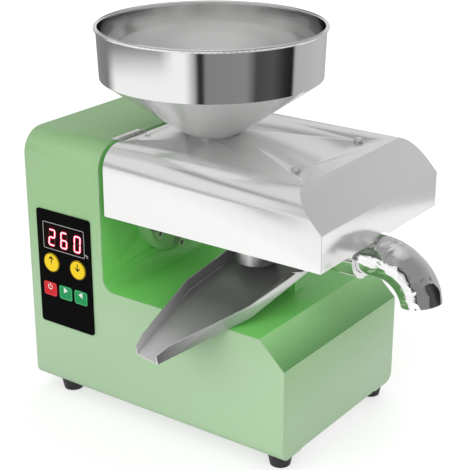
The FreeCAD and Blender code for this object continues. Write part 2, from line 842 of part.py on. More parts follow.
def control_panel():
    """Black panel plate on the front of the column, open for the display and the keys."""
    body = new_body("control_panel")
    shape = new_sketch(body, "XZ_Plane", half_depth)
    corner = panel_round
    rectangle(shape, panel_left, panel_bottom, panel_width, panel_height, corner, corner)
    pad(body, shape, panel_thickness)
    holes = new_sketch(body, "XZ_Plane", half_depth)
    rectangle(holes, display_left, display_bottom, display_width, display_height)
    for x, z, is_round in KEYS.values():
        key_outline(holes, x, z, is_round, key_play)
    pocket(body, holes, panel_thickness, backwards=True)


def display_window():
    """Three-digit display module whose window is flush with the panel."""
    body = new_body("display_window")
    shape = new_sketch(body, "XZ_Plane", half_depth + panel_thickness)
    rectangle(shape, display_left, display_bottom, display_width, display_height)
    pad(body, shape, display_depth, backwards=True)


def key(label, x, z, is_round):
    """A key with a skirt that holds it behind the panel."""
    body = new_body(label, x, panel_face, z)
    zero = Size.of(0)
    cap = new_sketch(body, "XZ_Plane", -(panel_thickness + key_play))
    key_outline(cap, zero, zero, is_round, zero)
    pad(body, cap, panel_thickness + key_play + key_proud)
    skirt = new_sketch(body, "XZ_Plane", -(panel_thickness + key_play))
    key_outline(skirt, zero, zero, is_round, key_skirt)
    pad(body, skirt, key_skirt_thickness, backwards=True)


def control_board():
    """Circuit board behind the panel on four standoffs, with one small switch behind each key."""
    body = new_body("control_board")
    board_face = half_depth - board_setback
    left = panel_left + board_margin
    bottom = panel_bottom + board_margin
    width = panel_width - board_margin * 2
    height = panel_height - board_margin * 2
    shape = new_sketch(body, "XZ_Plane", board_face)
    rectangle(shape, left, bottom, width, height)
    pad(body, shape, board_thickness, backwards=True)
    display_back = half_depth + panel_thickness - display_depth
    socket = new_sketch(body, "XZ_Plane", board_face)
    rectangle(
        socket,
        display_left + display_socket_inset,
        display_bottom + display_socket_inset,
        display_width - display_socket_inset * 2,
        display_height - display_socket_inset * 2,
    )
    pad(body, socket, display_back - board_face)
    skirt_back = half_depth - key_play - key_skirt_thickness
    switches = new_sketch(body, "XZ_Plane", board_face)
    for x, z, _ in KEYS.values():
        half = switch_size / 2
        rectangle(switches, x - half, z - half, switch_size, switch_size)
    pad(body, switches, skirt_back - key_travel - key_play - board_face)
    standoffs = new_sketch(body, "XZ_Plane", board_face)
    for x in (left + standoff_inset, left + width - standoff_inset):
        for z in (bottom + standoff_inset, bottom + height - standoff_inset):
            circle(standoffs, x, z, standoff_radius)
    pad(body, standoffs, board_setback)


# ---- Drive ---------------------------------------------------------------------------------------

def gear_case():
    """Closed reduction gear between the motor and the press screw, with the nose that takes the bearing."""
    body = new_body("gear_case", case_start, 0, 0)
    lower = new_sketch(body, "YZ_Plane")
    circle(lower, 0, motor_level, case_radius)
    pad(body, lower, case_width)
    upper = new_sketch(body, "YZ_Plane")
    circle(upper, 0, axis_level, case_radius)
    pad(body, upper, case_width)
    web = new_sketch(body, "YZ_Plane")
    rectangle(web, -case_radius, motor_level, case_radius * 2, axis_level - motor_level)
    pad(body, web, case_width)
    nose = new_sketch(body, "YZ_Plane")
    circle(nose, 0, axis_level, case_nose_radius - screw_play)
    pad(body, nose, column_width - case_start)
    seat = new_sketch(body, "YZ_Plane", column_width - case_start)
    circle(seat, 0, axis_level, bearing_radius)
    pocket(body, seat, bearing_width)
    well = new_sketch(body, "YZ_Plane", column_width - case_start)
    circle(well, 0, axis_level, shaft_radius + moving_gap)
    pocket(body, well, bearing_width + shaft_pocket)


def motor():
    """Closed motor in the base, its body between two end bells, driving the gear case from the right."""
    body = new_body("motor", case_start + case_width, 0, motor_level)
    shape = new_sketch(body, "XZ_Plane")
    ribs_end = motor_length - motor_bell_length
    outline(shape, [
        (0, 0),
        (0, motor_bell_radius),
        (motor_bell_length, motor_bell_radius),
        (motor_bell_length, motor_radius),
        (ribs_end, motor_radius),
        (ribs_end, motor_bell_radius),
        (motor_length, motor_bell_radius),
        (motor_length, 0),
    ])
    revolve(body, shape, "H_Axis")


def motor_bracket():
    """Saddle that carries the motor on the base plate."""
    seat = steel_wall * 2
    body = new_body("motor_bracket", bracket_x, 0, seat)
    block = new_sketch(body, "YZ_Plane")
    rectangle(block, -bracket_half_width, Size.of(0), bracket_half_width * 2, bracket_height)
    pad(body, block, bracket_length)
    saddle = new_sketch(body, "YZ_Plane")
    circle(saddle, 0, motor_level - seat, motor_radius)
    pocket(body, saddle, bracket_length, backwards=True)
    arch = new_sketch(body, "YZ_Plane")
    crown = motor_level - seat - motor_radius - steel_wall * 2
    rectangle(arch, -bracket_arch_half_width, Size.of(0), bracket_arch_half_width * 2, crown)
    pocket(body, arch, bracket_length, backwards=True)


def screw_bearing():
    """Ring bearing that the screw's shaft turns in."""
    body = new_body("screw_bearing", column_width - bearing_width, 0, axis_level)
    shape = new_sketch(body, "YZ_Plane")
    circle(shape, 0, 0, bearing_radius)
    circle(shape, 0, 0, shaft_radius + shaft_play)
    pad(body, shape, bearing_width)


# ---- Press ---------------------------------------------------------------------------------------

def barrel_flange():
    """Round boss on the column wall that the barrel is plugged into."""
    body = new_body("barrel_flange", column_width, 0, axis_level)
    shape = new_sketch(body, "XZ_Plane")
    outline(shape, [
        (0, barrel_plug_radius),
        (0, boss_radius),
        (boss_thickness - boss_round, boss_radius),
        (boss_thickness, boss_radius - boss_round),
        (boss_thickness, barrel_radius),
        (boss_thickness / 2, barrel_radius),
        (boss_thickness / 2, barrel_plug_radius),
    ])
    revolve(body, shape, "H_Axis")
    hole = new_sketch(body, "YZ_Plane")
    bolt_y = boss_bolt_circle * cosine(boss_bolt_start)
    bolt_z = boss_bolt_circle * sine(boss_bolt_start)
    circle(hole, bolt_y, bolt_z, boss_bolt_radius + screw_play)
    cut = pocket(body, hole, boss_thickness, backwards=True)
    circle_of(body, [cut], hole, "N_Axis", boss_bolt_count)


def flange_bolts():
    """Socket-head bolts through the boss and the column wall."""
    body = new_body("flange_bolts", boss_face, 0, axis_level)
    y = boss_bolt_circle * cosine(boss_bolt_start)
    z = boss_bolt_circle * sine(boss_bolt_start)
    head = new_sketch(body, "YZ_Plane")
    circle(head, y, z, boss_bolt_head)
    heads = pad(body, head, boss_bolt_head_height)
    shank = new_sketch(body, "YZ_Plane")
    circle(shank, y, z, boss_bolt_radius)
    shanks = pad(body, shank, boss_thickness + steel_wall, backwards=True)
    socket = new_sketch(body, "YZ_Plane", boss_bolt_head_height)
    circle(socket, y, z, boss_bolt_socket)
    sockets = pocket(body, socket, boss_bolt_socket_depth)
    circle_of(body, [heads, shanks, sockets], head, "N_Axis", boss_bolt_count)


def barrel():
    """Barrel with its feed throat on top and a row of oil slots below."""
    body = new_body("barrel", 0, 0, axis_level)
    shape = new_sketch(body, "XZ_Plane")
    plug_end = column_width + boss_thickness / 2
    outline(shape, [
        (column_width, barrel_bore),
        (column_width, barrel_plug_radius),
        (plug_end, barrel_plug_radius),
        (plug_end, barrel_radius),
        (barrel_end, barrel_radius),
        (barrel_end, spigot_radius),
        (barrel_end + spigot_length, spigot_radius),
        (barrel_end + spigot_length, barrel_bore),
    ])
    revolve(body, shape, "H_Axis")
    throat = new_sketch(body, "XY_Plane")
    circle(throat, feed_x, 0, feed_radius)
    pad(body, throat, feed_top - axis_level)
    bore = new_sketch(body, "XY_Plane", feed_top - axis_level)
    circle(bore, feed_x, 0, feed_bore)
    pocket(body, bore, feed_top - axis_level)
    main_bore = new_sketch(body, "YZ_Plane", column_width)
    circle(main_bore, 0, 0, barrel_bore)
    pocket(body, main_bore, barrel_end + spigot_length - column_width, backwards=True)
    slot = new_sketch(body, "XY_Plane")
    slots_start = sleeve_x - slot_pitch * (slot_count - 1) / 2 - slot_width / 2
    rectangle(slot, slots_start, -slot_span / 2, slot_width, slot_span)
    cut = pocket(body, slot, barrel_radius)
    row(body, [cut], slot, "H_Axis", slot_pitch * (slot_count - 1), slot_count)


def barrel_nut():
    """Ring nut on the barrel's end; its lip holds the elbow's collar."""
    body = new_body("barrel_nut", barrel_end, 0, axis_level)
    lip_start = spigot_length + collar_thickness + moving_gap * 2
    shape = new_sketch(body, "XZ_Plane")
    outline(shape, [
        (0, spigot_radius),
        (0, nut_radius),
        (lip_start + nut_lip, nut_radius),
        (lip_start + nut_lip, tube_radius + moving_gap),
        (lip_start, tube_radius + moving_gap),
        (lip_start, spigot_radius),
    ])
    revolve(body, shape, "H_Axis")
    groove = new_sketch(body, "YZ_Plane")
    circle(groove, nut_radius + nut_groove_radius / 2, 0, nut_groove_radius)
    cut = pocket(body, groove, lip_start + nut_lip, backwards=True)
    circle_of(body, [cut], groove, "N_Axis", nut_groove_count)


def outlet_elbow():
    """Bent tube for the pressed cake, with a collar inside the nut."""
    collar_start = spigot_length + moving_gap
    straight = tube_straight_end - barrel_end - collar_start
    body = new_body("outlet_elbow", barrel_end + collar_start, 0, axis_level)
    path = new_sketch(body, "XZ_Plane")
    path.addGeometry(Part.LineSegment(Vector(0, 0, 0), Vector(straight.value, 0, 0)), False)
    centre = Vector(straight.value, -bend_radius.value, 0)
    bend = Part.Circle(centre, Vector(0, 0, 1), bend_radius.value)
    start_angle = math.radians(90 - bend_angle.value)
    path.addGeometry(Part.ArcOfCircle(bend, start_angle, math.pi / 2), False)
    pin_point(path, 0, 1, (0, 0))
    pin_point(path, 0, 2, (straight, 0))
    path.addConstraint(Sketcher.Constraint("Coincident", 0, 2, 1, 2))
    pin_point(path, 1, 3, (straight, -bend_radius))
    pin_coordinate(path, 1, 1, "DistanceX", straight + bend_radius * sine(bend_angle))
    ring = new_sketch(body, "YZ_Plane")
    circle(ring, 0, 0, tube_radius)
    circle(ring, 0, 0, tube_radius - tube_wall)
    doc.recompute()
    tube = body.newObject("PartDesign::AdditivePipe", "outlet_elbow_tube")
    tube.Profile = ring
    tube.Spine = (path, ["Edge1", "Edge2"])
    doc.recompute()
    collar = new_sketch(body, "YZ_Plane")
    circle(collar, 0, 0, collar_radius)
    circle(collar, 0, 0, tube_radius - tube_wall)
    pad(body, collar, collar_thickness)


def oil_sleeve():
    """Skirt under the oil slots that lets the oil drop into the chute."""
    body = new_body("oil_sleeve", sleeve_x, sleeve_y, 0)
    shape = new_sketch(body, "XZ_Plane")
    inner = sleeve_radius - sleeve_wall
    outline(shape, [
        (inner, sleeve_bottom),
        (sleeve_radius, sleeve_bottom),
        (sleeve_radius, sleeve_top),
        (0, sleeve_top),
        (0, sleeve_top - sleeve_wall),
        (inner, sleeve_top - sleeve_wall),
    ])
    revolve(body, shape)
    saddle = new_sketch(body, "YZ_Plane")
    circle(saddle, -sleeve_y, axis_level, barrel_radius)
    pocket(body, saddle, sleeve_radius * 4, both_ways=True)


def heater_band():
    """Band heater clamped round the barrel, with its terminal box on top."""
    body = new_body("heater_band", heater_start, 0, axis_level)
    shape = new_sketch(body, "YZ_Plane")
    circle(shape, 0, 0, barrel_radius + heater_thickness)
    circle(shape, 0, 0, barrel_radius)
    pad(body, shape, heater_width)
    box = new_sketch(body, "YZ_Plane")
    seat = barrel_radius + heater_thickness / 2
    rectangle(box, -heater_box_width / 2, seat, heater_box_width, heater_box_height)
    pad(body, box, heater_width)
    joint = new_sketch(body, "YZ_Plane")
    rectangle(joint, -screw_play * 2, -(barrel_radius + heater_thickness * 2), screw_play * 4, seat)
    pocket(body, joint, heater_width, backwards=True)


def press_screw():
    """Screw with a root that thickens towards the outlet, one helical flight and a drive shaft."""
    body = new_body("press_screw", 0, 0, axis_level)
    shape = new_sketch(body, "XZ_Plane")
    flight_end = flight_start + flight_length
    outer = barrel_bore - flight_gap
    shaft_start = column_width - bearing_width - shaft_pocket + moving_gap
    outline(shape, [
        (shaft_start, 0),
        (shaft_start, shaft_radius),
        (column_width + moving_gap, shaft_radius),
        (column_width + moving_gap, outer),
        (column_width + boss_thickness, outer),
        (column_width + boss_thickness, screw_root_start),
        (flight_start, screw_root_start),
        (flight_end, screw_root_end),
        (screw_tip, screw_root_end),
        (screw_tip, 0),
    ])
    revolve(body, shape, "H_Axis")
    tooth = new_sketch(body, "XZ_Plane")
    outline(tooth, [
        (flight_start, flight_root),
        (flight_start + flight_width, flight_root),
        (flight_start + flight_width - flight_flank, outer),
        (flight_start + flight_flank, outer),
    ])
    flight = body.newObject("PartDesign::AdditiveHelix", "press_screw_flight")
    flight.Profile = tooth
    flight.ReferenceAxis = (tooth, ["H_Axis"])
    flight.Mode = "pitch-height-angle"
    bind(flight, "Pitch", flight_pitch)
    bind(flight, "Height", flight_length - flight_width)
    doc.recompute()


# ---- Chute ---------------------------------------------------------------------------------------

def tilt_chute(thing):
    """Lay the tray on the front edge: turned in its own plane, with the plane tilted about the edge."""
    turned = FreeCAD.Rotation(Vector(0, 0, 1), -chute_yaw.value)
    tilted = FreeCAD.Rotation(Vector(1, 0, 0), chute_pitch.value)
    thing.Placement.Rotation = tilted * turned


def chute():
    """Tray with upright walls: parallel at the back, tapered to a narrow mouth in front."""
    body = new_body("chute", chute_x, -half_depth, floor_level + moving_gap)
    tilt_chute(body)
    rear = chute_rear_reach
    bend = chute_bend_reach
    mouth = -chute_mouth_reach
    wide = chute_half_width
    narrow = chute_mouth_half_width
    base = new_sketch(body, "XY_Plane")
    outline(base, [
        (-wide, rear),
        (-wide, bend),
        (-narrow, mouth),
        (narrow, mouth),
        (wide, bend),
        (wide, rear),
    ])
    pad(body, base, chute_height)
    hollow = new_sketch(body, "XY_Plane", chute_height)
    wall = chute_wall
    beyond = mouth - wall * 2
    outline(hollow, [
        (wall - wide, rear + wall),
        (wall - wide, bend),
        (wall - narrow, mouth),
        (wall - narrow, beyond),
        (narrow - wall, beyond),
        (narrow - wall, mouth),
        (wide - wall, bend),
        (wide - wall, rear + wall),
    ])
    pocket(body, hollow, chute_height - wall)
    side_cut = new_sketch(body, "YZ_Plane")
    outline(side_cut, [
        (mouth - wall, chute_mouth_height),
        (mouth, chute_mouth_height),
        (mouth + chute_height, chute_height),
        (mouth + chute_height, chute_height + wall),
        (mouth - wall, chute_height + wall),
    ])
    pocket(body, side_cut, wide * 4, both_ways=True)
    rear_cut = new_sketch(body, "YZ_Plane")
    outline(rear_cut, [
        (chute_low_start, chute_height + wall),
        (chute_low_start, chute_height),
        (chute_low_start + chute_height, chute_rear_height),
        (rear + wall, chute_rear_height),
        (rear + wall, chute_height + wall),
    ])
    pocket(body, rear_cut, wide * 4, both_ways=True)
    lip = new_sketch(body, "XY_Plane", chute_height - wall)
    outline(lip, [
        (wide - wall, bend),
        (wide, bend),
        (wide + chute_lip_width, chute_low_start),
        (wide - wall, chute_low_start),
    ])
    pad(body, lip, wall)


def chute_rest():
    """Folded plate on the floor that carries the chute's rear end."""
    body = new_body("chute_rest", sleeve_x, chute_rest_y, floor_level)
    rise = tangent(chute_pitch) * chute_rest_reach
    shape = new_sketch(body, "YZ_Plane")
    outline(shape, [
        (0, 0),
        (chute_rest_foot, 0),
        (chute_rest_foot, steel_wall),
        (steel_wall, steel_wall),
        (steel_wall, rise),
        (0, rise),
    ])
    pad(body, shape, chute_rest_half_width * 2, both_ways=True)


# ---- Cover and hinges ----------------------------------------------------------------------------

def hood_solid(body, start, end, half, bottom, top, slope_start, slope_level, roll):
    """Solid of the hood: a block with rolled long edges and a slope down to the end wall."""
    shape = new_sketch(body, "YZ_Plane", start)
    rectangle(shape, -half, bottom, half * 2, top - bottom, roll)
    pad(body, shape, end - start)
    slope = new_sketch(body, "XZ_Plane")
    outline(slope, [
        (slope_start, top),
        (end, slope_level),
        (end + roll, slope_level),
        (end + roll, top + roll),
        (slope_start, top + roll),
    ])
    pocket(body, slope, half * 4, both_ways=True)


def cover():
    """Hinged stainless hood with the hopper's hole and a notch over the elbow."""
    outer = new_body("cover_block")
    parts.remove(outer)
    hood_solid(
        outer, cover_start, cover_end, cover_depth / 2, cover_bottom, cover_top,
        cover_slope_start, cover_slope_end_level, cover_roll,
    )
    run = cover_end - cover_slope_start
    drop = cover_top - cover_slope_end_level
    slope_angle = arctangent(drop / run)
    inner = new_body("cover_hollow")
    parts.remove(inner)
    hood_solid(
        inner, cover_start - cover_wall, cover_end - cover_wall, cover_depth / 2 - cover_wall,
        cover_bottom - cover_wall, cover_top - cover_wall,
        cover_slope_start - cover_wall * tangent(slope_angle / 2),
        cover_slope_end_level - cover_wall * tangent((90 - slope_angle) / 2),
        cover_roll - cover_wall,
    )
    holes = new_body("cover_holes")
    parts.remove(holes)
    neck = new_sketch(holes, "XY_Plane", cover_top - cover_wall * 2)
    circle(neck, feed_x, 0, hopper_spigot_radius + moving_gap)
    for y in (-cover_screw_y, cover_screw_y):
        circle(neck, cover_screw_x, y, cover_screw_radius + screw_play)
    for centre in (-hinge_y, hinge_y):
        for side in (-0.5, 0.5):
            circle(neck, rivet_x, centre + rivet_pitch * side, rivet_radius)
    pad(holes, neck, cover_wall * 4)
    arch = new_sketch(holes, "YZ_Plane", cover_end - cover_wall * 2)
    circle(arch, 0, axis_level, notch_radius)
    pad(holes, arch, cover_wall * 4)
    tools = doc.addObject("Part::MultiFuse", "cover_cuts")
    tools.Shapes = [inner, holes]
    hood = doc.addObject("Part::Cut", "cover_shell")
    hood.Base = outer
    hood.Tool = tools
    hood.Label = "cover"
    parts.append(hood)


def cover_rest():
    """Plate under the hood that sits on the barrel and carries the closed hood."""
    body = new_body("cover_rest", cover_screw_x, 0, 0)
    top = cover_top - cover_wall
    bottom = axis_level + barrel_radius + moving_gap
    plate = new_sketch(body, "YZ_Plane")
    rectangle(plate, -rest_half_width, bottom, rest_half_width * 2, top - bottom)
    pad(body, plate, rest_thickness, both_ways=True)
    flange = new_sketch(body, "XY_Plane", top - rest_thickness)
    rectangle(flange, -rest_flange / 2, -rest_half_width, rest_flange, rest_half_width * 2)
    pad(body, flange, rest_thickness)
    screws = new_sketch(body, "XY_Plane", top)
    for y in (-cover_screw_y, cover_screw_y):
        circle(screws, 0, y, cover_screw_radius)
    pocket(body, screws, cover_screw_length)


def cover_screws():
    """Two pan-head screws that hold the rest plate under the hood."""
    body = new_body("cover_screws", cover_screw_x, -cover_screw_y, cover_top)
    shape = new_sketch(body, "XZ_Plane")
    outline(shape, [
        (0, -cover_screw_length),
        (cover_screw_radius, -cover_screw_length),
        (cover_screw_radius, 0),
        (cover_screw_head, 0),
        (cover_screw_head, cover_screw_head_edge),
        (cover_screw_crown, cover_screw_head_height),
        (0, cover_screw_head_height),
    ])
    screw = revolve(body, shape)
    row(body, [screw], new_sketch(body, "XY_Plane"), "V_Axis", cover_screw_y * 2, 2)


def hinge_rivets():
    """Four rivets that hold the hinge leaves under the hood."""
    body = new_body("hinge_rivets", rivet_x, -hinge_y - rivet_pitch / 2, cover_top)
    shape = new_sketch(body, "XZ_Plane")
    tail = cover_wall + leaf_thickness
    outline(shape, [
        (0, -tail - rivet_head_height),
        (rivet_tail_radius, -tail - rivet_head_height),
        (rivet_tail_radius, -tail),
        (rivet_radius, -tail),
        (rivet_radius, 0),
        (rivet_head_radius, 0),
        (rivet_crown, rivet_head_height),
        (0, rivet_head_height),
    ])
    rivet = revolve(body, shape)
    grid = new_sketch(body, "XY_Plane")
    row(body, [rivet], grid, "V_Axis", rivet_pitch, 2, ("V_Axis", hinge_y * 2, 2))


def hinge_half(label, leaf_left, leaf_bottom, leaf_width, spans, gaps, bore, riveted):
    """Two copies of one half of a butt hinge, cut free where the other half's knuckles turn."""
    body = new_body(label, hinge_x, -hinge_y, hinge_level)
    plate = new_sketch(body, "XZ_Plane", -hinge_length / 2)
    rectangle(plate, leaf_left, leaf_bottom, leaf_width, leaf_thickness)
    made = [pad(body, plate, hinge_length)]
    for start, finish in gaps:
        clear = new_sketch(body, "XZ_Plane", -finish)
        circle(clear, 0, 0, knuckle_radius + knuckle_gap)
        made.append(pocket(body, clear, finish - start, backwards=True))
    for start, finish in spans:
        tube = new_sketch(body, "XZ_Plane", -finish)
        circle(tube, 0, 0, knuckle_radius)
        made.append(pad(body, tube, finish - start))
    hole = new_sketch(body, "XZ_Plane")
    circle(hole, 0, 0, bore)
    made.append(pocket(body, hole, hinge_length * 2, both_ways=True))
    if riveted:
        holes = new_sketch(body, "XY_Plane")
        for side in (-0.5, 0.5):
            circle(holes, rivet_x - hinge_x, rivet_pitch * side, rivet_radius)
        made.append(pocket(body, holes, knuckle_radius * 2, both_ways=True))
    row(body, made, new_sketch(body, "XY_Plane"), "V_Axis", hinge_y * 2, 2)


def hinges():
    """Two butt hinges of five knuckles: three on the column, two on the hood, on loose pins."""
    step = hinge_length / 5
    edges = [step * (number - 2.5) for number in range(6)]
    column_spans = [(edges[0], edges[1]), (edges[2], edges[3]), (edges[4], edges[5])]
    cover_spans = [
        (edges[1] + knuckle_gap, edges[2] - knuckle_gap),
        (edges[3] + knuckle_gap, edges[4] - knuckle_gap),
    ]
    column_gaps = [(edges[1], edges[2]), (edges[3], edges[4])]
    cover_gaps = [
        (edges[0] - knuckle_gap, edges[1] + knuckle_gap),
        (edges[2] - knuckle_gap, edges[3] + knuckle_gap),
        (edges[4] - knuckle_gap, edges[5] + knuckle_gap),
    ]
    on_column = housing_top - hinge_level
    under_cover = cover_top - cover_wall - leaf_thickness - hinge_level
    hinge_half(
        "hinge_column_leaves", -column_leaf_width, on_column, column_leaf_width,
        column_spans, column_gaps, pin_radius, False,
    )
    hinge_half(
        "hinge_cover_leaves", Size.of(0), under_cover, cover_leaf_width,
        cover_spans, cover_gaps, pin_radius + pin_play, True,
    )
    pins = new_body("hinge_pins", hinge_x, -hinge_y, hinge_level)
    shape = new_sketch(pins, "XZ_Plane")
    circle(shape, 0, 0, pin_radius)
    pin = pad(pins, shape, hinge_length, both_ways=True)
    row(pins, [pin], new_sketch(pins, "XY_Plane"), "V_Axis", hinge_y * 2, 2)


# ---- Hopper --------------------------------------------------------------------------------------

def hopper():
    """Spun hopper: spigot, cone, upright band and a rolled rim."""
    body = new_body("hopper", feed_x, 0, 0)
    neck_level = cover_top + moving_gap
    cone_run = hopper_fold_radius - hopper_neck_radius
    cone_rise = hopper_fold_level - neck_level
    slope = arctangent(cone_rise / cone_run)
    wall = hopper_wall
    lift = wall / cosine(slope)
    shape = new_sketch(body, "XZ_Plane")
    spigot_inner = hopper_spigot_radius - wall
    cone_inner = neck_level + lift + (spigot_inner - hopper_neck_radius) * cone_rise / cone_run
    fold_inner = hopper_fold_level + lift - wall * tangent(slope)
    outline(shape, [
        (hopper_spigot_radius, hopper_spigot_bottom),
        (hopper_spigot_radius, neck_level),
        (hopper_neck_radius, neck_level),
        (hopper_fold_radius, hopper_fold_level),
        (hopper_rim_radius, hopper_rim_level),
        (hopper_rim_radius - wall, hopper_rim_level),
        (hopper_fold_radius - wall, fold_inner),
        (spigot_inner, cone_inner),
        (spigot_inner, hopper_spigot_bottom),
    ])
    revolve(body, shape)
    bead = new_sketch(body, "XZ_Plane")
    circle(bead, hopper_rim_radius, hopper_rim_level, hopper_bead_radius)
    revolve(body, bead)


# ---- Build, check and write ----------------------------------------------------------------------

casing()
inner_panel()
end_panel()
end_panel_screws()
power_inlet()
base_plate()
feet()
foot_screws()
control_panel()
display_window()
for name, (key_x, key_z, key_is_round) in KEYS.items():
    key(name, key_x, key_z, key_is_round)
control_board()
gear_case()
motor()
motor_bracket()
screw_bearing()
barrel_flange()
flange_bolts()
barrel()
barrel_nut()
outlet_elbow()
oil_sleeve()
heater_band()
press_screw()
chute()
chute_rest()
cover()
cover_rest()
cover_screws()
hinge_rivets()
hinges()
hopper()
doc.recompute()

failed = [item.Label for item in doc.Objects if {"Invalid", "Error"} & set(item.State)]
if failed:
    raise ValueError(f"these objects failed: {failed}")
for part in parts:
    if part.Shape.isNull() or not part.Shape.isValid() or part.Shape.Volume <= 0:
        raise ValueError(f"{part.Label} has no valid shape")

os.makedirs("parts", exist_ok=True)
for part in parts:
    part.Shape.exportStep(f"parts/{part.Label}.step")
    print(part.Label, len(part.Shape.Solids), round(part.Shape.Volume), part.Shape.BoundBox)
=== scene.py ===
import json
import math

import bmesh
import bpy
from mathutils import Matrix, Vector

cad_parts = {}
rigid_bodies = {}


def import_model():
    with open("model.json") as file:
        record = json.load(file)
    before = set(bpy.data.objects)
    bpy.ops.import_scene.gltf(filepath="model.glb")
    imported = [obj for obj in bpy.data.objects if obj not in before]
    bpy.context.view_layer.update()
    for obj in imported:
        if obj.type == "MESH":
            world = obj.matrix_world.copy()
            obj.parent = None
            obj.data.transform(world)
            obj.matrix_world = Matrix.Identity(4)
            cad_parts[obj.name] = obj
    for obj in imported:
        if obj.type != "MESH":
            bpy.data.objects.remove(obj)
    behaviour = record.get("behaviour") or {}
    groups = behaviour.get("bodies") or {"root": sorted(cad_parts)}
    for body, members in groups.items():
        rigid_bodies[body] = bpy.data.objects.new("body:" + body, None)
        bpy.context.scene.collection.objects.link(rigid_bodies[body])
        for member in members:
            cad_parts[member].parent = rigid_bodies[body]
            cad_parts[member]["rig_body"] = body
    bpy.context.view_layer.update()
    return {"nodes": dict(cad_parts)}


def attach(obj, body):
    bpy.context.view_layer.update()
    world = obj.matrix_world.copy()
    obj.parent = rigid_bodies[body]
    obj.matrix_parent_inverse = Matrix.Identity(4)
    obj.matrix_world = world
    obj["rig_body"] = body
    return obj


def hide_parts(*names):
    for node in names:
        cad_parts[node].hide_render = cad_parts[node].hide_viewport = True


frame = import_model()
scene = bpy.context.scene
nodes = frame["nodes"]

# ---- Studio --------------------------------------------------------------------------------------
# A pale table top in a white room. A tent of grey and white cloth stands round the machine and is seen
# only in its polished metal. Soft boxes light the front from above and below, the right end and the back.

camera_data = bpy.data.cameras.new("studio_camera")
camera_data.lens = 96.5
camera_data.sensor_width = 36.0
camera = bpy.data.objects.new("studio_camera", camera_data)
camera.location = (0.6355, -0.8896, 0.6180)
camera.rotation_euler = (math.radians(68.5), 0, math.radians(35.55))
scene.collection.objects.link(camera)
scene.camera = camera
scene.view_settings.view_transform = "Standard"


def new_material(name, color, roughness, metallic=0.0, **sockets):
    """A material with one Principled shader, and that shader."""
    material = bpy.data.materials.new(name)
    material.use_nodes = True
    shader = material.node_tree.nodes["Principled BSDF"]
    shader.inputs["Base Color"].default_value = (*color, 1)
    shader.inputs["Roughness"].default_value = roughness
    shader.inputs["Metallic"].default_value = metallic
    for label, value in sockets.items():
        shader.inputs[label.replace("_", " ").title().replace("Ior", "IOR")].default_value = value
    return material, shader


def add_node(tree, kind, **settings):
    """A shader node with its properties set."""
    node = tree.nodes.new(kind)
    for label, value in settings.items():
        setattr(node, label, value)
    return node


def math_node(tree, operation, first, second=None, third=None, clamp=False):
    node = add_node(tree, "ShaderNodeMath", operation=operation, use_clamp=clamp)
    for socket, value in zip(node.inputs, (first, second, third)):
        if value is None:
            continue
        if isinstance(value, bpy.types.NodeSocket):
            tree.links.new(value, socket)
        else:
            socket.default_value = value
    return node.outputs[0]


def ramp_node(tree, factor, stops, interpolation="LINEAR"):
    node = add_node(tree, "ShaderNodeValToRGB")
    node.color_ramp.interpolation = interpolation
    elements = node.color_ramp.elements
    while len(elements) > 1:
        elements.remove(elements[-1])
    for index, (place, value) in enumerate(stops):
        color = (value, value, value) if isinstance(value, (int, float)) else value
        element = elements[0] if index == 0 else elements.new(place)
        element.position = place
        element.color = (*color, 1)
    tree.links.new(factor, node.inputs[0])
    return node.outputs[0]


def mix_color(tree, factor, first, second):
    """The first colour where the factor is 0 and the second where it is 1."""
    node = add_node(tree, "ShaderNodeMix", data_type="RGBA")
    for index, value in ((0, factor), (6, first), (7, second)):
        socket = node.inputs[index]
        if isinstance(value, bpy.types.NodeSocket):
            tree.links.new(value, socket)
        elif index == 0:
            socket.default_value = value
        else:
            socket.default_value = (*value, 1)
    return node.outputs[2]


def mesh_piece(name, vertices, faces, materials=()):
    """A mesh object from points and faces in the machine's frame."""
    mesh = bpy.data.meshes.new(name)
    mesh.from_pydata([tuple(v) for v in vertices], [], faces)
    mesh.validate()
    for material in materials:
        mesh.materials.append(material)
    piece = bpy.data.objects.new(name, mesh)
    scene.collection.objects.link(piece)
    return piece


def bar_piece(name, low, high, material):
    """A plain block between two corners."""
    spots = [(x, y, z) for z in (low[2], high[2]) for y in (low[1], high[1]) for x in (low[0], high[0])]
    faces = [(0, 2, 3, 1), (4, 5, 7, 6), (0, 1, 5, 4), (2, 6, 7, 3), (0, 4, 6, 2), (1, 3, 7, 5)]
    return mesh_piece(name, spots, faces, [material])


floor_half = 9.0
floor_glow = 0.58
floor_material, floor_shader = new_material("table_top", (0.55, 0.55, 0.55), 0.9)
tree = floor_material.node_tree
path = add_node(tree, "ShaderNodeLightPath")
seen = math_node(tree, "MAXIMUM", path.outputs["Is Camera Ray"], path.outputs["Is Glossy Ray"])
seen = math_node(tree, "MAXIMUM", seen, path.outputs["Is Transmission Ray"])
glow = add_node(tree, "ShaderNodeEmission")
glow.inputs["Color"].default_value = (1, 1, 1, 1)
tree.links.new(math_node(tree, "MULTIPLY", seen, floor_glow), glow.inputs["Strength"])
both = add_node(tree, "ShaderNodeAddShader")
tree.links.new(floor_shader.outputs[0], both.inputs[0])
tree.links.new(glow.outputs[0], both.inputs[1])
tree.links.new(both.outputs[0], tree.nodes["Material Output"].inputs["Surface"])
floor = mesh_piece(
    "table_top",
    [(x * floor_half, y * floor_half, 0) for x, y in ((-1, -1), (1, -1), (1, 1), (-1, 1))],
    [(0, 1, 2, 3)],
    [floor_material],
)

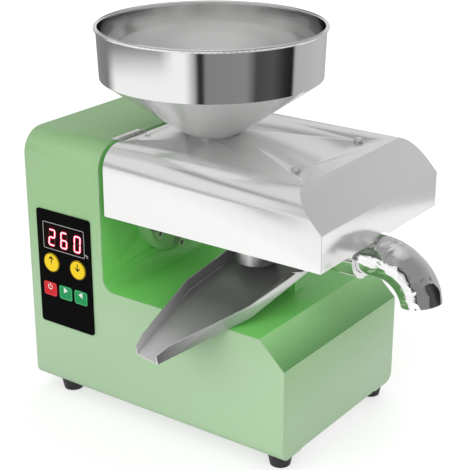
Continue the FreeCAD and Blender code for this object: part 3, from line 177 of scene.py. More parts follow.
world = bpy.data.worlds.new("studio_room")
scene.world = world
world.use_nodes = True
tree = world.node_tree
path = add_node(tree, "ShaderNodeLightPath")
seen = math_node(tree, "MAXIMUM", path.outputs["Is Camera Ray"], path.outputs["Is Glossy Ray"])
seen = math_node(tree, "MAXIMUM", seen, path.outputs["Is Transmission Ray"])
room_level = 0.55
level = math_node(tree, "MULTIPLY_ADD", seen, 1 - room_level, room_level)
tree.links.new(level, tree.nodes["Background"].inputs["Strength"])
tree.nodes["Background"].inputs["Color"].default_value = (1, 1, 1, 1)

tent_middle = (-0.0477, 0.0294)
tent_turn = math.radians(-54.5)
tent_profile = ((0.62, 0.05), (0.62, 0.36), (0.58, 0.60), (0.46, 0.82), (0.26, 0.96), (0.0, 1.0))
tent_sides = 96
tent_glow = bpy.data.materials.new("tent_cloth")
tent_glow.use_nodes = True
tree = tent_glow.node_tree
tree.nodes.remove(tree.nodes["Principled BSDF"])
place = add_node(tree, "ShaderNodeTexCoord")
parts = add_node(tree, "ShaderNodeSeparateXYZ")
tree.links.new(place.outputs["Object"], parts.inputs[0])
turn = math_node(tree, "ARCTAN2", parts.outputs[1], parts.outputs[0])
turn = math_node(tree, "MULTIPLY_ADD", turn, 1 / (2 * math.pi), 0.5)
low_wall = ramp_node(tree, turn, [
    (0.0, 0.30), (0.181, 0.22), (0.200, 0.20), (0.206, 0.01), (0.236, 0.02), (0.244, 1.0), (0.436, 1.0),
    (0.462, 0.35), (0.469, 0.02), (0.480, 0.02), (0.487, 0.24), (0.590, 0.26), (0.617, 0.07), (0.661, 0.09),
    (0.700, 0.03), (0.727, 0.01), (0.736, 0.48), (0.860, 0.55), (1.0, 0.4),
])
front = ramp_node(tree, turn, [(0.17, 0.0), (0.21, 1.0), (0.37, 1.0), (0.41, 0.0)])
front_wall = ramp_node(tree, parts.outputs[2], [
    (0.0, 1.0), (0.175, 1.0), (0.215, 0.25), (0.270, 0.25), (0.32, 0.70), (0.66, 0.75), (0.72, 0.06),
    (0.78, 0.06), (0.84, 0.62), (1.0, 0.66),
])
back = ramp_node(tree, turn, [(0.0, 1.0), (0.10, 1.0), (0.15, 0.0), (0.85, 0.0), (0.90, 1.0), (1.0, 1.0)])
back_wall = ramp_node(tree, parts.outputs[2], [
    (0.0, 0.5), (0.40, 0.70), (0.535, 0.76), (0.575, 0.42), (0.62, 0.22), (0.78, 0.22), (0.86, 0.60),
    (1.0, 0.66),
])
other_wall = ramp_node(tree, turn, [
    (0.0, 0.7), (0.16, 0.5), (0.42, 0.4), (0.52, 0.3), (0.66, 0.3), (0.75, 0.42), (0.9, 0.6), (1.0, 0.7),
])
ceiling = ramp_node(tree, parts.outputs[2], [(0.0, 0.0), (0.75, 0.0), (0.95, 1.0)])
high_wall = mix_color(tree, ceiling, other_wall, (0.72, 0.72, 0.72))
height_mask = ramp_node(tree, parts.outputs[2], [(0.30, 0.0), (0.38, 1.0)])
wall = mix_color(tree, height_mask, low_wall, high_wall)
wall = mix_color(tree, front, wall, front_wall)
back_mask = math_node(tree, "MULTIPLY", back, height_mask)
wall = mix_color(tree, back_mask, wall, back_wall)
glow = add_node(tree, "ShaderNodeEmission")
tree.links.new(wall, glow.inputs["Color"])
tree.links.new(glow.outputs[0], tree.nodes["Material Output"].inputs["Surface"])
tent_points = []
tent_faces = []
for radius, height in tent_profile:
    for side in range(tent_sides):
        angle = 2 * math.pi * side / tent_sides
        tent_points.append((radius * math.cos(angle), radius * math.sin(angle), height))
for ring in range(len(tent_profile) - 1):
    for side in range(tent_sides):
        after = (side + 1) % tent_sides
        start = ring * tent_sides
        tent_faces.append((
            start + side, start + after, start + tent_sides + after, start + tent_sides + side,
        ))
tent = mesh_piece("tent", tent_points, tent_faces, [tent_glow])
tent.location = (*tent_middle, 0)
tent.rotation_euler = (0, 0, tent_turn)
tent.visible_camera = False
tent.visible_diffuse = False
tent.visible_shadow = False
tent.visible_transmission = False


def soft_box(name, place, aim, size, level):
    """A square lamp that lights a face turned to it at the given level."""
    lamp_data = bpy.data.lights.new(name, "AREA")
    lamp_data.shape = "SQUARE"
    lamp_data.size = size
    reach = Vector(aim) - Vector(place)
    lamp_data.energy = level * math.pi ** 2 * reach.length_squared
    lamp = bpy.data.objects.new(name, lamp_data)
    lamp.location = place
    lamp.rotation_euler = reach.to_track_quat("-Z", "Y").to_euler()
    lamp.visible_glossy = False
    scene.collection.objects.link(lamp)


soft_box("front_box", (-0.5, -2.0, 1.0), (0, 0, 0.15), 1.6, 0.32)
soft_box("low_box", (0.5, -1.6, 0.35), (0, 0, 0.12), 1.0, 0.20)
soft_box("right_box", (2.0, -0.5, 0.9), (0, 0, 0.15), 1.4, 0.26)
soft_box("back_box", (-0.8, 2.0, 1.4), (0, 0, 0.15), 1.6, 0.25)

# ---- Housing sheets ------------------------------------------------------------------------------
# The casing, the column wall with floor and right end, and the left end are bent from 1.2 mm steel sheet
# and coated with a satin green powder. The outside is a pale sage: the green paint with a painted white
# sheen in it, painted darker towards the top and darkest on the top face as painted shade. The press bay is
# the deeper green of the paint, painted lighter as painted light where the hood shades it; its slant is
# painted lighter at its start and darker towards the right end, and the right end darker upwards, as
# painted light and shade.
# The cut edges are broken, and the broken edges are painted lighter as a painted highlight.

# Colours of the sheets: sage carries a painted white sheen; the deep and top sage are painted shade; the
# bay green is painted light; the slant colours are painted light and shade; the edge green is a painted
# highlight.
sage = (0.415, 0.610, 0.375)
sage_painted_shade = (0.320, 0.535, 0.265)
sage_top_painted_shade = (0.27, 0.49, 0.215)
bay_green_painted_light = (0.185, 0.640, 0.135)
slant_painted_shade = (0.120, 0.320, 0.100)
slant_painted_light = (0.320, 0.640, 0.260)
edge_green_painted_highlight = (0.560, 0.760, 0.530)
slant_start = 0.0753
end_face = 0.1021


def new_group(name, inputs, outputs):
    """An empty shader group with named sockets: (name, type, default) for each input."""
    group = bpy.data.node_groups.new(name, "ShaderNodeTree")
    for label, kind, default in inputs:
        socket = group.interface.new_socket(label, in_out="INPUT", socket_type=kind)
        if default is not None:
            socket.default_value = default
    for label, kind in outputs:
        group.interface.new_socket(label, in_out="OUTPUT", socket_type=kind)
    start = group.nodes.new("NodeGroupInput")
    end = group.nodes.new("NodeGroupOutput")
    return group, start, end


def noise_node(tree, vector, scale, detail=2.0, roughness=0.5):
    node = add_node(tree, "ShaderNodeTexNoise")
    if isinstance(scale, bpy.types.NodeSocket):
        tree.links.new(scale, node.inputs["Scale"])
    else:
        node.inputs["Scale"].default_value = scale
    node.inputs["Detail"].default_value = detail
    node.inputs["Roughness"].default_value = roughness
    tree.links.new(vector, node.inputs["Vector"])
    return node.outputs["Fac"]


def around(tree, noise, amount, middle, clamp=False):
    """A noise value, centred and scaled, added to a middle value."""
    centred = math_node(tree, "SUBTRACT", noise, 0.5)
    return math_node(tree, "MULTIPLY_ADD", centred, amount, middle, clamp=clamp)


def color_input(tree):
    """The colour socket of the group placed in a material."""
    return next(node for node in tree.nodes if node.type == "GROUP").inputs["Color"]


# Powder coat: fine orange peel, broad tone changes and a little dust.
coat_group, start, end = new_group(
    "powder_coat",
    [
        ("Color", "NodeSocketColor", (0.4, 0.6, 0.4, 1)),
        ("Tone", "NodeSocketFloat", 0.06),
        ("Peel", "NodeSocketFloat", 0.06),
        ("Roughness", "NodeSocketFloat", 0.38),
    ],
    [("Color", "NodeSocketColor"), ("Roughness", "NodeSocketFloat"), ("Normal", "NodeSocketVector")],
)
tree = coat_group
place = add_node(tree, "ShaderNodeTexCoord").outputs["Object"]
broad = noise_node(tree, place, 9.0, 3.0)
fine = noise_node(tree, place, 900.0, 2.0)
grain = noise_node(tree, place, 2600.0, 1.0)
tone = math_node(tree, "SUBTRACT", broad, 0.5)
tone = math_node(tree, "MULTIPLY", tone, start.outputs["Tone"])
speck = math_node(tree, "SUBTRACT", grain, 0.5)
speck = math_node(tree, "MULTIPLY", speck, 0.05)
light = math_node(tree, "ADD", math_node(tree, "ADD", tone, speck), 1.0)
scaled = add_node(tree, "ShaderNodeVectorMath", operation="SCALE")
tree.links.new(start.outputs["Color"], scaled.inputs[0])
tree.links.new(light, scaled.inputs["Scale"])
tree.links.new(scaled.outputs[0], end.inputs["Color"])
rough = around(tree, fine, 0.12, start.outputs["Roughness"])
tree.links.new(rough, end.inputs["Roughness"])
bump = add_node(tree, "ShaderNodeBump")
bump.inputs["Distance"].default_value = 0.0004
tree.links.new(start.outputs["Peel"], bump.inputs["Strength"])
tree.links.new(fine, bump.inputs["Height"])
tree.links.new(bump.outputs[0], end.inputs["Normal"])


def use_group(tree, group, shader, **values):
    """Place a group in a material, set its inputs and feed its outputs to the shader."""
    node = add_node(tree, "ShaderNodeGroup", node_tree=group)
    for label, value in values.items():
        socket = node.inputs[label.replace("_", " ")]
        if isinstance(value, bpy.types.NodeSocket):
            tree.links.new(value, socket)
        elif isinstance(value, tuple):
            socket.default_value = (*value, 1)
        else:
            socket.default_value = value
    for label, target in (("Color", "Base Color"), ("Roughness", "Roughness"), ("Normal", "Normal")):
        if label in node.outputs:
            tree.links.new(node.outputs[label], shader.inputs[target])
    return node


def painted(name, color, roughness=0.38, peel=0.06, tone=0.06, coat=0.06, specular=0.5, glow=0.0):
    """A coated surface; a lamp's surface glows in its own colour."""
    material, shader = new_material(
        name, color, roughness, coat_weight=coat, coat_roughness=0.22, specular_ior_level=specular,
    )
    tree = material.node_tree
    node = use_group(tree, coat_group, shader, Color=color, Roughness=roughness, Peel=peel, Tone=tone)
    if glow:
        tree.links.new(node.outputs["Color"], shader.inputs["Emission Color"])
        shader.inputs["Emission Strength"].default_value = glow
    return material, shader


def blended(tree, along, stops):
    """A colour that changes along one object axis; stops are (place in metres, colour)."""
    low, high = stops[0][0], stops[-1][0]
    parts = add_node(tree, "ShaderNodeSeparateXYZ")
    tree.links.new(add_node(tree, "ShaderNodeTexCoord").outputs["Object"], parts.inputs[0])
    share = add_node(tree, "ShaderNodeMapRange")
    share.inputs["From Min"].default_value = low
    share.inputs["From Max"].default_value = high
    tree.links.new(parts.outputs[along], share.inputs["Value"])
    places = [((place - low) / (high - low), color) for place, color in stops]
    return ramp_node(tree, share.outputs["Result"], places)


# The outside sage with painted shade: darker from 0.10 m up and darkest on the top face.
green_outside, _ = painted("green_outside", sage)
tree = green_outside.node_tree
color = blended(tree, 2, [
    (0.0, sage), (0.10, sage), (0.20, sage_painted_shade), (0.262, sage_painted_shade), (0.272, sage_top_painted_shade),
])
tree.links.new(color, color_input(tree))
# Painted highlight: the broken edges are a lighter green.
green_edge_highlight, _ = painted("green_edge_highlight", edge_green_painted_highlight, 0.3)
# The bay green is painted light against the hood's shade; the slant is painted lighter at its start and
# darker towards the end face, and the end face darker upwards, as painted light and shade.
green_inside, _ = painted("green_inside", bay_green_painted_light, 0.34)
tree = green_inside.node_tree
parts = add_node(tree, "ShaderNodeSeparateXYZ")
tree.links.new(add_node(tree, "ShaderNodeTexCoord").outputs["Object"], parts.inputs[0])
past_slant = math_node(tree, "GREATER_THAN", parts.outputs[0], slant_start)
past_end = math_node(tree, "GREATER_THAN", parts.outputs[0], end_face)
slant_painted_light_and_shade = blended(tree, 0, [(slant_start, slant_painted_light), (end_face, slant_painted_shade)])
end_painted_shade = blended(tree, 2, [(0.0, sage), (0.05, sage), (0.11, sage_painted_shade)])
color = mix_color(tree, past_slant, bay_green_painted_light, slant_painted_light_and_shade)
color = mix_color(tree, past_end, color, end_painted_shade)
tree.links.new(color, color_input(tree))


edge_rounds = 2
sharp_angle = math.radians(30.0)
flat_angle = math.radians(0.4)


def broken_edges(node, materials, width):
    """A copy of a CAD node with its edges broken; the last material goes on the broken edges, where it is a
    painted highlight.
    """
    source = nodes[node]
    work = bmesh.new()
    work.from_mesh(source.data)
    bmesh.ops.remove_doubles(work, verts=work.verts, dist=1e-6)
    bmesh.ops.dissolve_limit(work, angle_limit=flat_angle, verts=work.verts, edges=work.edges)
    mesh = bpy.data.meshes.new(f"{node}_sheet")
    for face in work.faces:
        face.material_index = 0
        face.smooth = True
    work.to_mesh(mesh)
    work.free()
    for material in materials:
        mesh.materials.append(material)
    piece = bpy.data.objects.new(f"{node}_sheet", mesh)
    scene.collection.objects.link(piece)
    bevel = piece.modifiers.new("edges", "BEVEL")
    bevel.width = width
    bevel.segments = edge_rounds
    bevel.limit_method = "ANGLE"
    bevel.angle_limit = sharp_angle
    bevel.harden_normals = True
    bevel.material = len(materials) - 1
    bevel.use_clamp_overlap = True
    bake_modifiers(piece)
    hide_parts(node)
    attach(piece, source["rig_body"])
    return piece


def bake_modifiers(piece):
    """Turn an object's modifiers into its mesh."""
    graph = bpy.context.evaluated_depsgraph_get()
    graph.update()
    result = bpy.data.meshes.new_from_object(piece.evaluated_get(graph))
    piece.modifiers.clear()
    piece.data = result


sheet_edge = 0.0005
broken_edges("casing", [green_outside, green_edge_highlight], sheet_edge)
broken_edges("inner_panel", [green_inside, green_edge_highlight], sheet_edge)
broken_edges("end_panel", [green_outside, green_edge_highlight], 0.0003)


def finish_node(node, *materials):
    """Give a CAD node its finish."""
    slots = nodes[node].data.materials
    slots.clear()
    for material in materials:
        slots.append(material)


finish_node("chute_rest", green_inside)

# ---- Hopper --------------------------------------------------------------------------------------
# Spun from 0.9 mm stainless sheet: a spigot, a cone, an upright band and a rolled rim, polished on the
# outside. Spinning leaves fine rings round the axis.

hopper_axis = (-0.0477, 0.0294)
hopper_fold = 0.3276
steel_color = (0.86, 0.86, 0.855)

ring_group, start, end = new_group(
    "spun_rings",
    [
        ("Middle X", "NodeSocketFloat", 0.0),
        ("Middle Y", "NodeSocketFloat", 0.0),
        ("Color", "NodeSocketColor", (0.8, 0.8, 0.8, 1)),
        ("Roughness", "NodeSocketFloat", 0.08),
        ("Depth", "NodeSocketFloat", 0.02),
    ],
    [("Color", "NodeSocketColor"), ("Roughness", "NodeSocketFloat"), ("Normal", "NodeSocketVector")],
)
tree = ring_group
parts = add_node(tree, "ShaderNodeSeparateXYZ")
place = add_node(tree, "ShaderNodeTexCoord").outputs["Object"]
tree.links.new(place, parts.inputs[0])
from_x = math_node(tree, "SUBTRACT", parts.outputs[0], start.outputs["Middle X"])
from_y = math_node(tree, "SUBTRACT", parts.outputs[1], start.outputs["Middle Y"])
reach = math_node(tree, "SQRT", math_node(
    tree, "ADD", math_node(tree, "MULTIPLY", from_x, from_x), math_node(tree, "MULTIPLY", from_y, from_y),
))
ring_place = add_node(tree, "ShaderNodeCombineXYZ")
tree.links.new(reach, ring_place.inputs[0])
tree.links.new(parts.outputs[2], ring_place.inputs[2])
rings = noise_node(tree, ring_place.outputs[0], 900.0, 3.0, 0.6)
smears = noise_node(tree, place, 14.0, 3.0)
rough = around(tree, rings, 0.05, start.outputs["Roughness"])
rough = around(tree, smears, 0.06, rough, clamp=True)
tree.links.new(rough, end.inputs["Roughness"])
light = around(tree, smears, 0.05, 1.0)
scaled = add_node(tree, "ShaderNodeVectorMath", operation="SCALE")
tree.links.new(start.outputs["Color"], scaled.inputs[0])
tree.links.new(light, scaled.inputs["Scale"])
tree.links.new(scaled.outputs[0], end.inputs["Color"])
bump = add_node(tree, "ShaderNodeBump")
bump.inputs["Distance"].default_value = 0.0001
tree.links.new(start.outputs["Depth"], bump.inputs["Strength"])
tree.links.new(rings, bump.inputs["Height"])
tree.links.new(bump.outputs[0], end.inputs["Normal"])

spun_steel, spun_shader = new_material("spun_steel", steel_color, 0.08, 1.0)
use_group(
    spun_steel.node_tree, ring_group, spun_shader,
    Middle_X=hopper_axis[0], Middle_Y=hopper_axis[1], Color=steel_color, Roughness=0.09, Depth=0.02,
)
tree = spun_steel.node_tree
height = add_node(tree, "ShaderNodeSeparateXYZ")
tree.links.new(add_node(tree, "ShaderNodeTexCoord").outputs["Object"], height.inputs[0])
on_band = math_node(tree, "GREATER_THAN", height.outputs[2], hopper_fold)
tree.links.new(math_node(tree, "MULTIPLY_ADD", on_band, 0.45, 0.55), spun_shader.inputs["Metallic"])
finish_node("hopper", spun_steel)

# ---- Hood ----------------------------------------------------------------------------------------
# Folded and welded from 1 mm stainless sheet, brushed along its length on the top and front and across
# on the sloping end. It hangs on two butt hinges and rests on a plate that stands on the barrel.

hood_slope = 0.1065
hood_metallic = 0.72
hood_edge_width = 0.0008
lines_along = (18.0, 1500.0, 1500.0)
lines_across = (1500.0, 18.0, 1500.0)
seam_low = (0.1379, -0.0722, 0.2072)
seam_high = (0.1383, -0.0718, 0.2404)

brush_group, start, end = new_group(
    "brushed_sheet",
    [
        ("Vector", "NodeSocketVector", None),
        ("Color", "NodeSocketColor", (0.8, 0.8, 0.8, 1)),
        ("Roughness", "NodeSocketFloat", 0.2),
        ("Depth", "NodeSocketFloat", 0.03),
    ],
    [("Color", "NodeSocketColor"), ("Roughness", "NodeSocketFloat"), ("Normal", "NodeSocketVector")],
)
tree = brush_group
lines = noise_node(tree, start.outputs["Vector"], 1.0, 3.0, 0.65)
place = add_node(tree, "ShaderNodeTexCoord").outputs["Object"]
smears = noise_node(tree, place, 11.0, 3.0)
rough = around(tree, lines, 0.08, start.outputs["Roughness"])
rough = around(tree, smears, 0.08, rough, clamp=True)
tree.links.new(rough, end.inputs["Roughness"])
light = around(tree, lines, 0.05, 1.0)
scaled = add_node(tree, "ShaderNodeVectorMath", operation="SCALE")
tree.links.new(start.outputs["Color"], scaled.inputs[0])
tree.links.new(light, scaled.inputs["Scale"])
tree.links.new(scaled.outputs[0], end.inputs["Color"])
bump = add_node(tree, "ShaderNodeBump")
bump.inputs["Distance"].default_value = 0.0001
tree.links.new(start.outputs["Depth"], bump.inputs["Strength"])
tree.links.new(lines, bump.inputs["Height"])
tree.links.new(bump.outputs[0], end.inputs["Normal"])


def brushed(name, color, roughness, depth, stretch, other=None, switch=None, metallic=1.0):
    """Brushed steel; stretch is the density of the lines on each axis, other past x = switch."""
    material, shader = new_material(name, color, roughness, metallic)
    tree = material.node_tree
    place = add_node(tree, "ShaderNodeTexCoord").outputs["Object"]
    scales = []
    for values in filter(None, (stretch, other)):
        scale = add_node(tree, "ShaderNodeVectorMath", operation="MULTIPLY")
        tree.links.new(place, scale.inputs[0])
        scale.inputs[1].default_value = values
        scales.append(scale.outputs[0])
    vector = scales[0]
    if other:
        parts = add_node(tree, "ShaderNodeSeparateXYZ")
        tree.links.new(place, parts.inputs[0])
        mix = add_node(tree, "ShaderNodeMix", data_type="VECTOR")
        tree.links.new(math_node(tree, "GREATER_THAN", parts.outputs[0], switch), mix.inputs[0])
        tree.links.new(scales[0], mix.inputs[4])
        tree.links.new(scales[1], mix.inputs[5])
        vector = mix.outputs[1]
    use_group(tree, brush_group, shader, Vector=vector, Color=color, Roughness=roughness, Depth=depth)
    return material


hood_steel = brushed(
    "hood_steel", steel_color, 0.20, 0.03, lines_along, lines_across, hood_slope + 0.0003, hood_metallic,
)
# Painted highlight: the broken edges of the hood are a brighter, smoother steel.
hood_edge_highlight = brushed("hood_edge_highlight", (0.92, 0.92, 0.915), 0.12, 0.01, lines_along)
broken_edges("cover", [hood_steel, hood_edge_highlight], hood_edge_width)
seam_dark, _ = painted("seam_dark", (0.05, 0.05, 0.05), 0.5)
seam = bar_piece("hood_corner_seam", seam_low, seam_high, seam_dark)
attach(seam, nodes["cover"]["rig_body"])

zinc = brushed("zinc", (0.62, 0.62, 0.60), 0.32, 0.02, (500.0, 500.0, 500.0))
bright_zinc = brushed("bright_zinc", (0.74, 0.74, 0.73), 0.22, 0.02, (700.0, 700.0, 700.0))
for name in ("cover_rest", "base_plate", "foot_screws", "end_panel_screws", "flange_bolts"):
    finish_node(name, zinc)
for name in ("cover_screws", "hinge_rivets", "hinge_column_leaves", "hinge_cover_leaves", "hinge_pins"):
    finish_node(name, bright_zinc)

# ---- Press ---------------------------------------------------------------------------------------
# A painted boss on the column wall carries the turned steel barrel. The barrel has the feed throat on
# top, oil slots below, a band heater round it and a ring nut that holds the polished outlet elbow.

boss_green, _ = painted("boss_green", (0.23, 0.50, 0.19), 0.3)
finish_node("barrel_flange", boss_green)
turned_steel = brushed("turned_steel", (0.74, 0.74, 0.735), 0.2, 0.03, (1300.0, 40.0, 40.0))
sleeve_steel = brushed("sleeve_steel", (0.92, 0.92, 0.92), 0.35, 0.02, (40.0, 40.0, 900.0))
for name in ("barrel", "barrel_nut", "press_screw", "screw_bearing"):
    finish_node(name, turned_steel)
finish_node("oil_sleeve", sleeve_steel)
heater_skin = brushed("heater_skin", (0.58, 0.55, 0.50), 0.4, 0.05, (90.0, 90.0, 90.0))
finish_node("heater_band", heater_skin)
# The bent tube is polished by hand, which leaves it slightly wavy.
elbow_steel, elbow_shader = new_material("elbow_steel", (0.86, 0.86, 0.86), 0.035, 1.0)
tree = elbow_steel.node_tree
place = add_node(tree, "ShaderNodeTexCoord").outputs["Object"]
waves = add_node(tree, "ShaderNodeTexNoise")
waves.inputs["Scale"].default_value = 34.0
waves.inputs["Detail"].default_value = 1.0
waves.inputs["Distortion"].default_value = 1.2
tree.links.new(place, waves.inputs["Vector"])
bump = add_node(tree, "ShaderNodeBump")
bump.inputs["Strength"].default_value = 1.0
bump.inputs["Distance"].default_value = 0.0035
tree.links.new(waves.outputs["Fac"], bump.inputs["Height"])
tree.links.new(bump.outputs[0], elbow_shader.inputs["Normal"])
finish_node("outlet_elbow", elbow_steel)

# ---- Chute ---------------------------------------------------------------------------------------
# A loose tray folded from 1 mm stainless sheet, satin inside, with upright walls and a narrow mouth.
# The inside is painted darker towards the rear as painted shade under the hood, the outside of the right
# wall is painted dark towards the mouth as painted shade, and the broken edges are a lighter steel as a
# painted highlight.
# It lies on the front edge and on its rest.

chute_middle = 0.0096
upright = 0.8
chute_mouth = -0.150
chute_rear = -0.040
chute_steel_painted_shade = brushed("chute_steel_painted_shade", (0.70, 0.70, 0.70), 0.3, 0.03, (60.0, 60.0, 900.0), metallic=0.35)
chute_outside_painted_shade = brushed("chute_outside_painted_shade", (0.5, 0.5, 0.5), 0.25, 0.03, (60.0, 60.0, 900.0), metallic=0.5)
# Painted shade: the inside is darker towards the rear, under the hood; the outside of the right wall is
# dark towards the mouth.
for material, near, far in ((chute_steel_painted_shade, 0.72, 0.20), (chute_outside_painted_shade, 0.015, 0.72)):
    tree = material.node_tree
    color = blended(tree, 1, [(chute_mouth, (near,) * 3), (chute_rear, (far,) * 3)])
    tree.links.new(color, color_input(tree))
# Painted highlight: a lighter steel on the broken edges.
chute_edge_highlight = brushed("chute_edge_highlight", (0.92, 0.92, 0.92), 0.2, 0.01, (60.0, 60.0, 900.0))
tray = broken_edges("chute", [chute_steel_painted_shade, chute_outside_painted_shade, chute_edge_highlight], 0.0003)
for polygon in tray.data.polygons:
    faces_right = polygon.normal.x > upright and polygon.center.x > chute_middle
    if faces_right and polygon.material_index == 0:
        polygon.material_index = 1

# ---- Drive ---------------------------------------------------------------------------------------
# Inside the housing, seen through the vents: a cast gear case and bracket and a painted motor.

cast_skin = brushed("cast_skin", (0.60, 0.60, 0.61), 0.55, 0.12, (350.0, 350.0, 350.0))
finish_node("gear_case", cast_skin)
finish_node("motor_bracket", cast_skin)
motor_paint, _ = painted("motor_paint", (0.03, 0.03, 0.034), 0.5, 0.2)
finish_node("motor", motor_paint)

# ---- Feet and inlet ------------------------------------------------------------------------------
# Moulded rubber feet and the black appliance inlet in the left end.

rubber, _ = painted("foot_rubber", (0.012, 0.012, 0.013), 0.62, 0.12, coat=0.0)
finish_node("feet", rubber)
black_plastic, _ = painted("inlet_plastic", (0.016, 0.016, 0.017), 0.45, 0.1, coat=0.0)
finish_node("power_inlet", black_plastic)

# ---- Control panel -------------------------------------------------------------------------------
# A black plate with a three-digit lamp display, two round and three square moulded keys. The symbols and
# outlines are printed on the keys, and a dark ring at the rim of each round key is painted shade; the lit
# bars of the digits glow in three layers, of which the wide halo is painted light spread onto the window.

gloss_black, _ = painted("gloss_black", (0.002, 0.002, 0.002), 0.4, 0.01, coat=0.0, specular=0.02)
finish_node("control_panel", gloss_black)
window_black, _ = painted("window_black", (0.006, 0.001, 0.001), 0.3, 0.01, coat=0.0, specular=0.03)
finish_node("display_window", window_black)
board_green, _ = painted("board_green", (0.02, 0.16, 0.05), 0.4, 0.02)
finish_node("control_board", board_green)
key_yellow, _ = painted("key_yellow", (0.93, 0.66, 0.012), 0.35, 0.02, specular=0.2)
key_red, _ = painted("key_red", (0.66, 0.008, 0.014), 0.35, 0.02, specular=0.2)
key_green, _ = painted("key_green", (0.004, 0.29, 0.085), 0.35, 0.02, specular=0.2)
for name in ("up_key", "down_key"):
    finish_node(name, key_yellow)
finish_node("power_key", key_red)
finish_node("forward_key", key_green)
finish_node("reverse_key", key_green)

middle_x = 197.7
foot_height = 12.0
panel_face = -0.0721
key_face = -0.0727
print_depth = 0.00004
digit_width = 9.6
digit_height = 18.4
digit_slant = 0.07
digit_spots = (26.4, 41.9, 59.0)
digit_base = 148.8
lit_segments = ("abged", "afgecd", "abcdef")


def print_shapes(name, shapes, face, material, on_node):
    """Thin flat shapes on a vertical face; shapes are outlines in housing millimetres (x, z)."""
    work = bmesh.new()
    for shape in shapes:
        rims = []
        for level in (face, face - print_depth):
            spots = [((x - middle_x) / 1000, level, (z + foot_height) / 1000) for x, z in shape]
            rims.append([work.verts.new(spot) for spot in spots])
        back, front = rims
        work.faces.new(front)
        work.faces.new(back[::-1])
        for index in range(len(shape)):
            after = (index + 1) % len(shape)
            work.faces.new((back[index], back[after], front[after], front[index]))
    bmesh.ops.recalc_face_normals(work, faces=work.faces)
    piece = mesh_piece(name, [], [], [material])
    work.to_mesh(piece.data)
    work.free()
    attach(piece, nodes[on_node]["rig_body"])
    return piece


def stroke(first, second, width, point=0.0):
    """Outline of a straight stroke, pointed at its ends by the given share of its width."""
    (x0, z0), (x1, z1) = first, second
    length = math.hypot(x1 - x0, z1 - z0)
    along = ((x1 - x0) / length, (z1 - z0) / length)
    across = (-along[1] * width / 2, along[0] * width / 2)
    tip = width * point
    return [
        (x0, z0),
        (x0 + along[0] * tip - across[0], z0 + along[1] * tip - across[1]),
        (x1 - along[0] * tip - across[0], z1 - along[1] * tip - across[1]),
        (x1, z1),
        (x1 - along[0] * tip + across[0], z1 - along[1] * tip + across[1]),
        (x0 + along[0] * tip + across[0], z0 + along[1] * tip + across[1]),
    ]


def bow(x, z, radius, width, start, sweep, steps=28):
    """Strips of a ring or an open ring; angles in degrees from +X."""
    shapes = []
    for step in range(steps):
        first = math.radians(start + sweep * step / steps)
        second = math.radians(start + sweep * (step + 1) / steps)
        inner, outer = radius - width / 2, radius + width / 2
        shapes.append([
            (x + inner * math.cos(first), z + inner * math.sin(first)),
            (x + outer * math.cos(first), z + outer * math.sin(first)),
            (x + outer * math.cos(second), z + outer * math.sin(second)),
            (x + inner * math.cos(second), z + inner * math.sin(second)),
        ])
    return shapes


def rim_line(left, low, width, height, corner, line):
    """A rounded rectangle drawn with a line of even width."""
    right, top = left + width, low + height
    shapes = []
    for x, z, start in (
        (right - corner, top - corner, 0), (left + corner, top - corner, 90),
        (left + corner, low + corner, 180), (right - corner, low + corner, 270),
    ):
        shapes += bow(x, z, corner, line, start, 90, 6)
    for first, second in (
        ((left + corner, low), (right - corner, low)), ((left + corner, top), (right - corner, top)),
        ((left, low + corner), (left, top - corner)), ((right, low + corner), (right, top - corner)),
    ):
        shapes.append(stroke(first, second, line))
    return shapes


def segment_ends(left, thick):
    """Ends of the seven bars of one leaning digit."""
    half = thick / 2
    xs = (left + half, left + digit_width - half)
    zs = (half, digit_height / 2, digit_height - half)
    bars = {
        "a": ((0, 2), (1, 2)), "b": ((1, 1), (1, 2)), "c": ((1, 0), (1, 1)), "d": ((0, 0), (1, 0)),
        "e": ((0, 0), (0, 1)), "f": ((0, 1), (0, 2)), "g": ((0, 1), (1, 1)),
    }
    return {
        bar: [(xs[i] + zs[j] * digit_slant, digit_base + zs[j]) for i, j in ends]
        for bar, ends in bars.items()
    }


bar_pitch = 2.4
# The halo layer is painted light: the glow spread from the lit bars onto the window.
lamp_layers = (
    ("segment_painted_halo", 3.5, (0.22, 0.004, 0.012), 1.0, 1.0),
    ("segment_glow", 2.5, (0.70, 0.020, 0.050), 1.0, 2.0),
    ("segment_core", 1.15, (1.0, 0.62, 0.70), 1.0, 3.0),
)
for label, thick, color, level, lift in lamp_layers:
    lamp, _ = painted(label, color, 0.4, 0.01, 0.04, coat=0.0, specular=0.0, glow=level)
    shapes = []
    for left, lit in zip(digit_spots, lit_segments):
        ends = segment_ends(left, bar_pitch)
        shapes += [stroke(*ends[bar], thick, 0.5) for bar in lit]
    print_shapes(label, shapes, panel_face - print_depth * lift, lamp, "display_window")
ghost, _ = painted("segment_off", (0.075, 0.006, 0.010), 0.4, 0.01, coat=0.0, specular=0.1)
shapes = []
for left, lit in zip(digit_spots, lit_segments):
    ends = segment_ends(left, bar_pitch)
    shapes += [stroke(*ends[bar], 1.9, 0.5) for bar in "abcdefg" if bar not in lit]
print_shapes("segments_off", shapes, panel_face, ghost, "display_window")

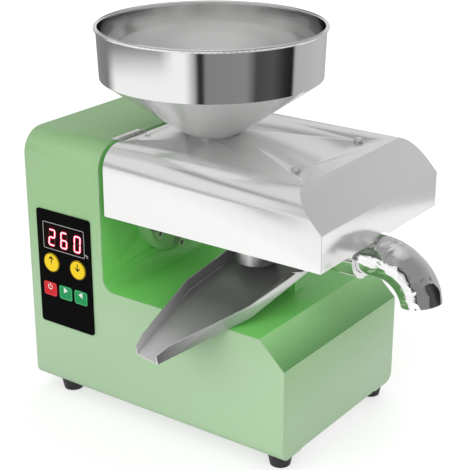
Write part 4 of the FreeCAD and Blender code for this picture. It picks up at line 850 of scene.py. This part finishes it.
print_grey, _ = painted("print_grey", (0.50, 0.50, 0.50), 0.5, 0.01, coat=0.0, specular=0.1)
print_black, _ = painted("print_black", (0.006, 0.006, 0.006), 0.5, 0.01, coat=0.0, specular=0.1)
print_white, _ = painted("print_white", (0.86, 0.86, 0.86), 0.5, 0.01, coat=0.0, specular=0.1)
# The dark rim of the round keys is painted shade.
key_rim_painted_shade, _ = painted("key_rim_painted_shade", (0.16, 0.11, 0.01), 0.5, 0.01, coat=0.0, specular=0.1)
rim_red, _ = painted("rim_red", (0.72, 0.12, 0.13), 0.4, 0.01, coat=0.0, specular=0.1)
rim_green, _ = painted("rim_green", (0.16, 0.52, 0.26), 0.4, 0.01, coat=0.0, specular=0.1)
frame_line = rim_line(20.6, 145.6, 52.4, 27.2, 1.2, 0.55)
print_shapes("display_frame", frame_line, panel_face, print_grey, "control_panel")
degree = bow(75.0, 149.2, 0.55, 0.35, 0, 360, 12) + bow(77.0, 147.9, 1.0, 0.45, 50, 260, 14)
print_shapes("degree_mark", degree, panel_face, print_white, "control_panel")

round_key_level = 131.3
arrow_level = 134.0
for key, middle, toward in (("up_key", 29.6, 1), ("down_key", 63.6, -1)):
    level = arrow_level
    tip = level + 3.6 * toward
    arrow = [
        stroke((middle, level - 3.6 * toward), (middle, tip), 1.2),
        stroke((middle - 2.9, tip - 2.9 * toward), (middle + 0.35, tip + 0.3 * toward), 1.25),
        stroke((middle + 2.9, tip - 2.9 * toward), (middle - 0.35, tip + 0.3 * toward), 1.25),
    ]
    # Painted shade: a dark ring at the rim of each round key.
    shade = bow(middle, round_key_level, 9.35, 0.7, 0, 360, 40)
    print_shapes(f"{key}_shade", shade, key_face, key_rim_painted_shade, key)
    print_shapes(f"{key}_arrow", arrow, key_face, print_black, key)
power_key_x = 26.5
key_low = 95.8
square_keys = (
    ("power_key", power_key_x, rim_red),
    ("forward_key", 46.6, rim_green),
    ("reverse_key", 66.3, rim_green),
)
for key, middle, rim in square_keys:
    line = rim_line(middle - 7.5, key_low + 0.7, 15.0, 12.8, 2.0, 0.45)
    print_shapes(f"{key}_rim", line, key_face, rim, key)
power = bow(power_key_x, 105.2, 2.6, 0.8, 125, 290, 20)
power.append(stroke((power_key_x, 105.4), (power_key_x, 109.0), 0.8))
print_shapes("power_mark", power, key_face, print_white, "power_key")
forward = [(44.4, 102.6), (49.6, 105.7), (44.4, 108.8)]
reverse = [(68.5, 102.6), (68.5, 108.8), (63.3, 105.7)]
print_shapes("forward_mark", [forward], key_face, print_white, "forward_key")
print_shapes("reverse_mark", [reverse], key_face, print_white, "reverse_key")
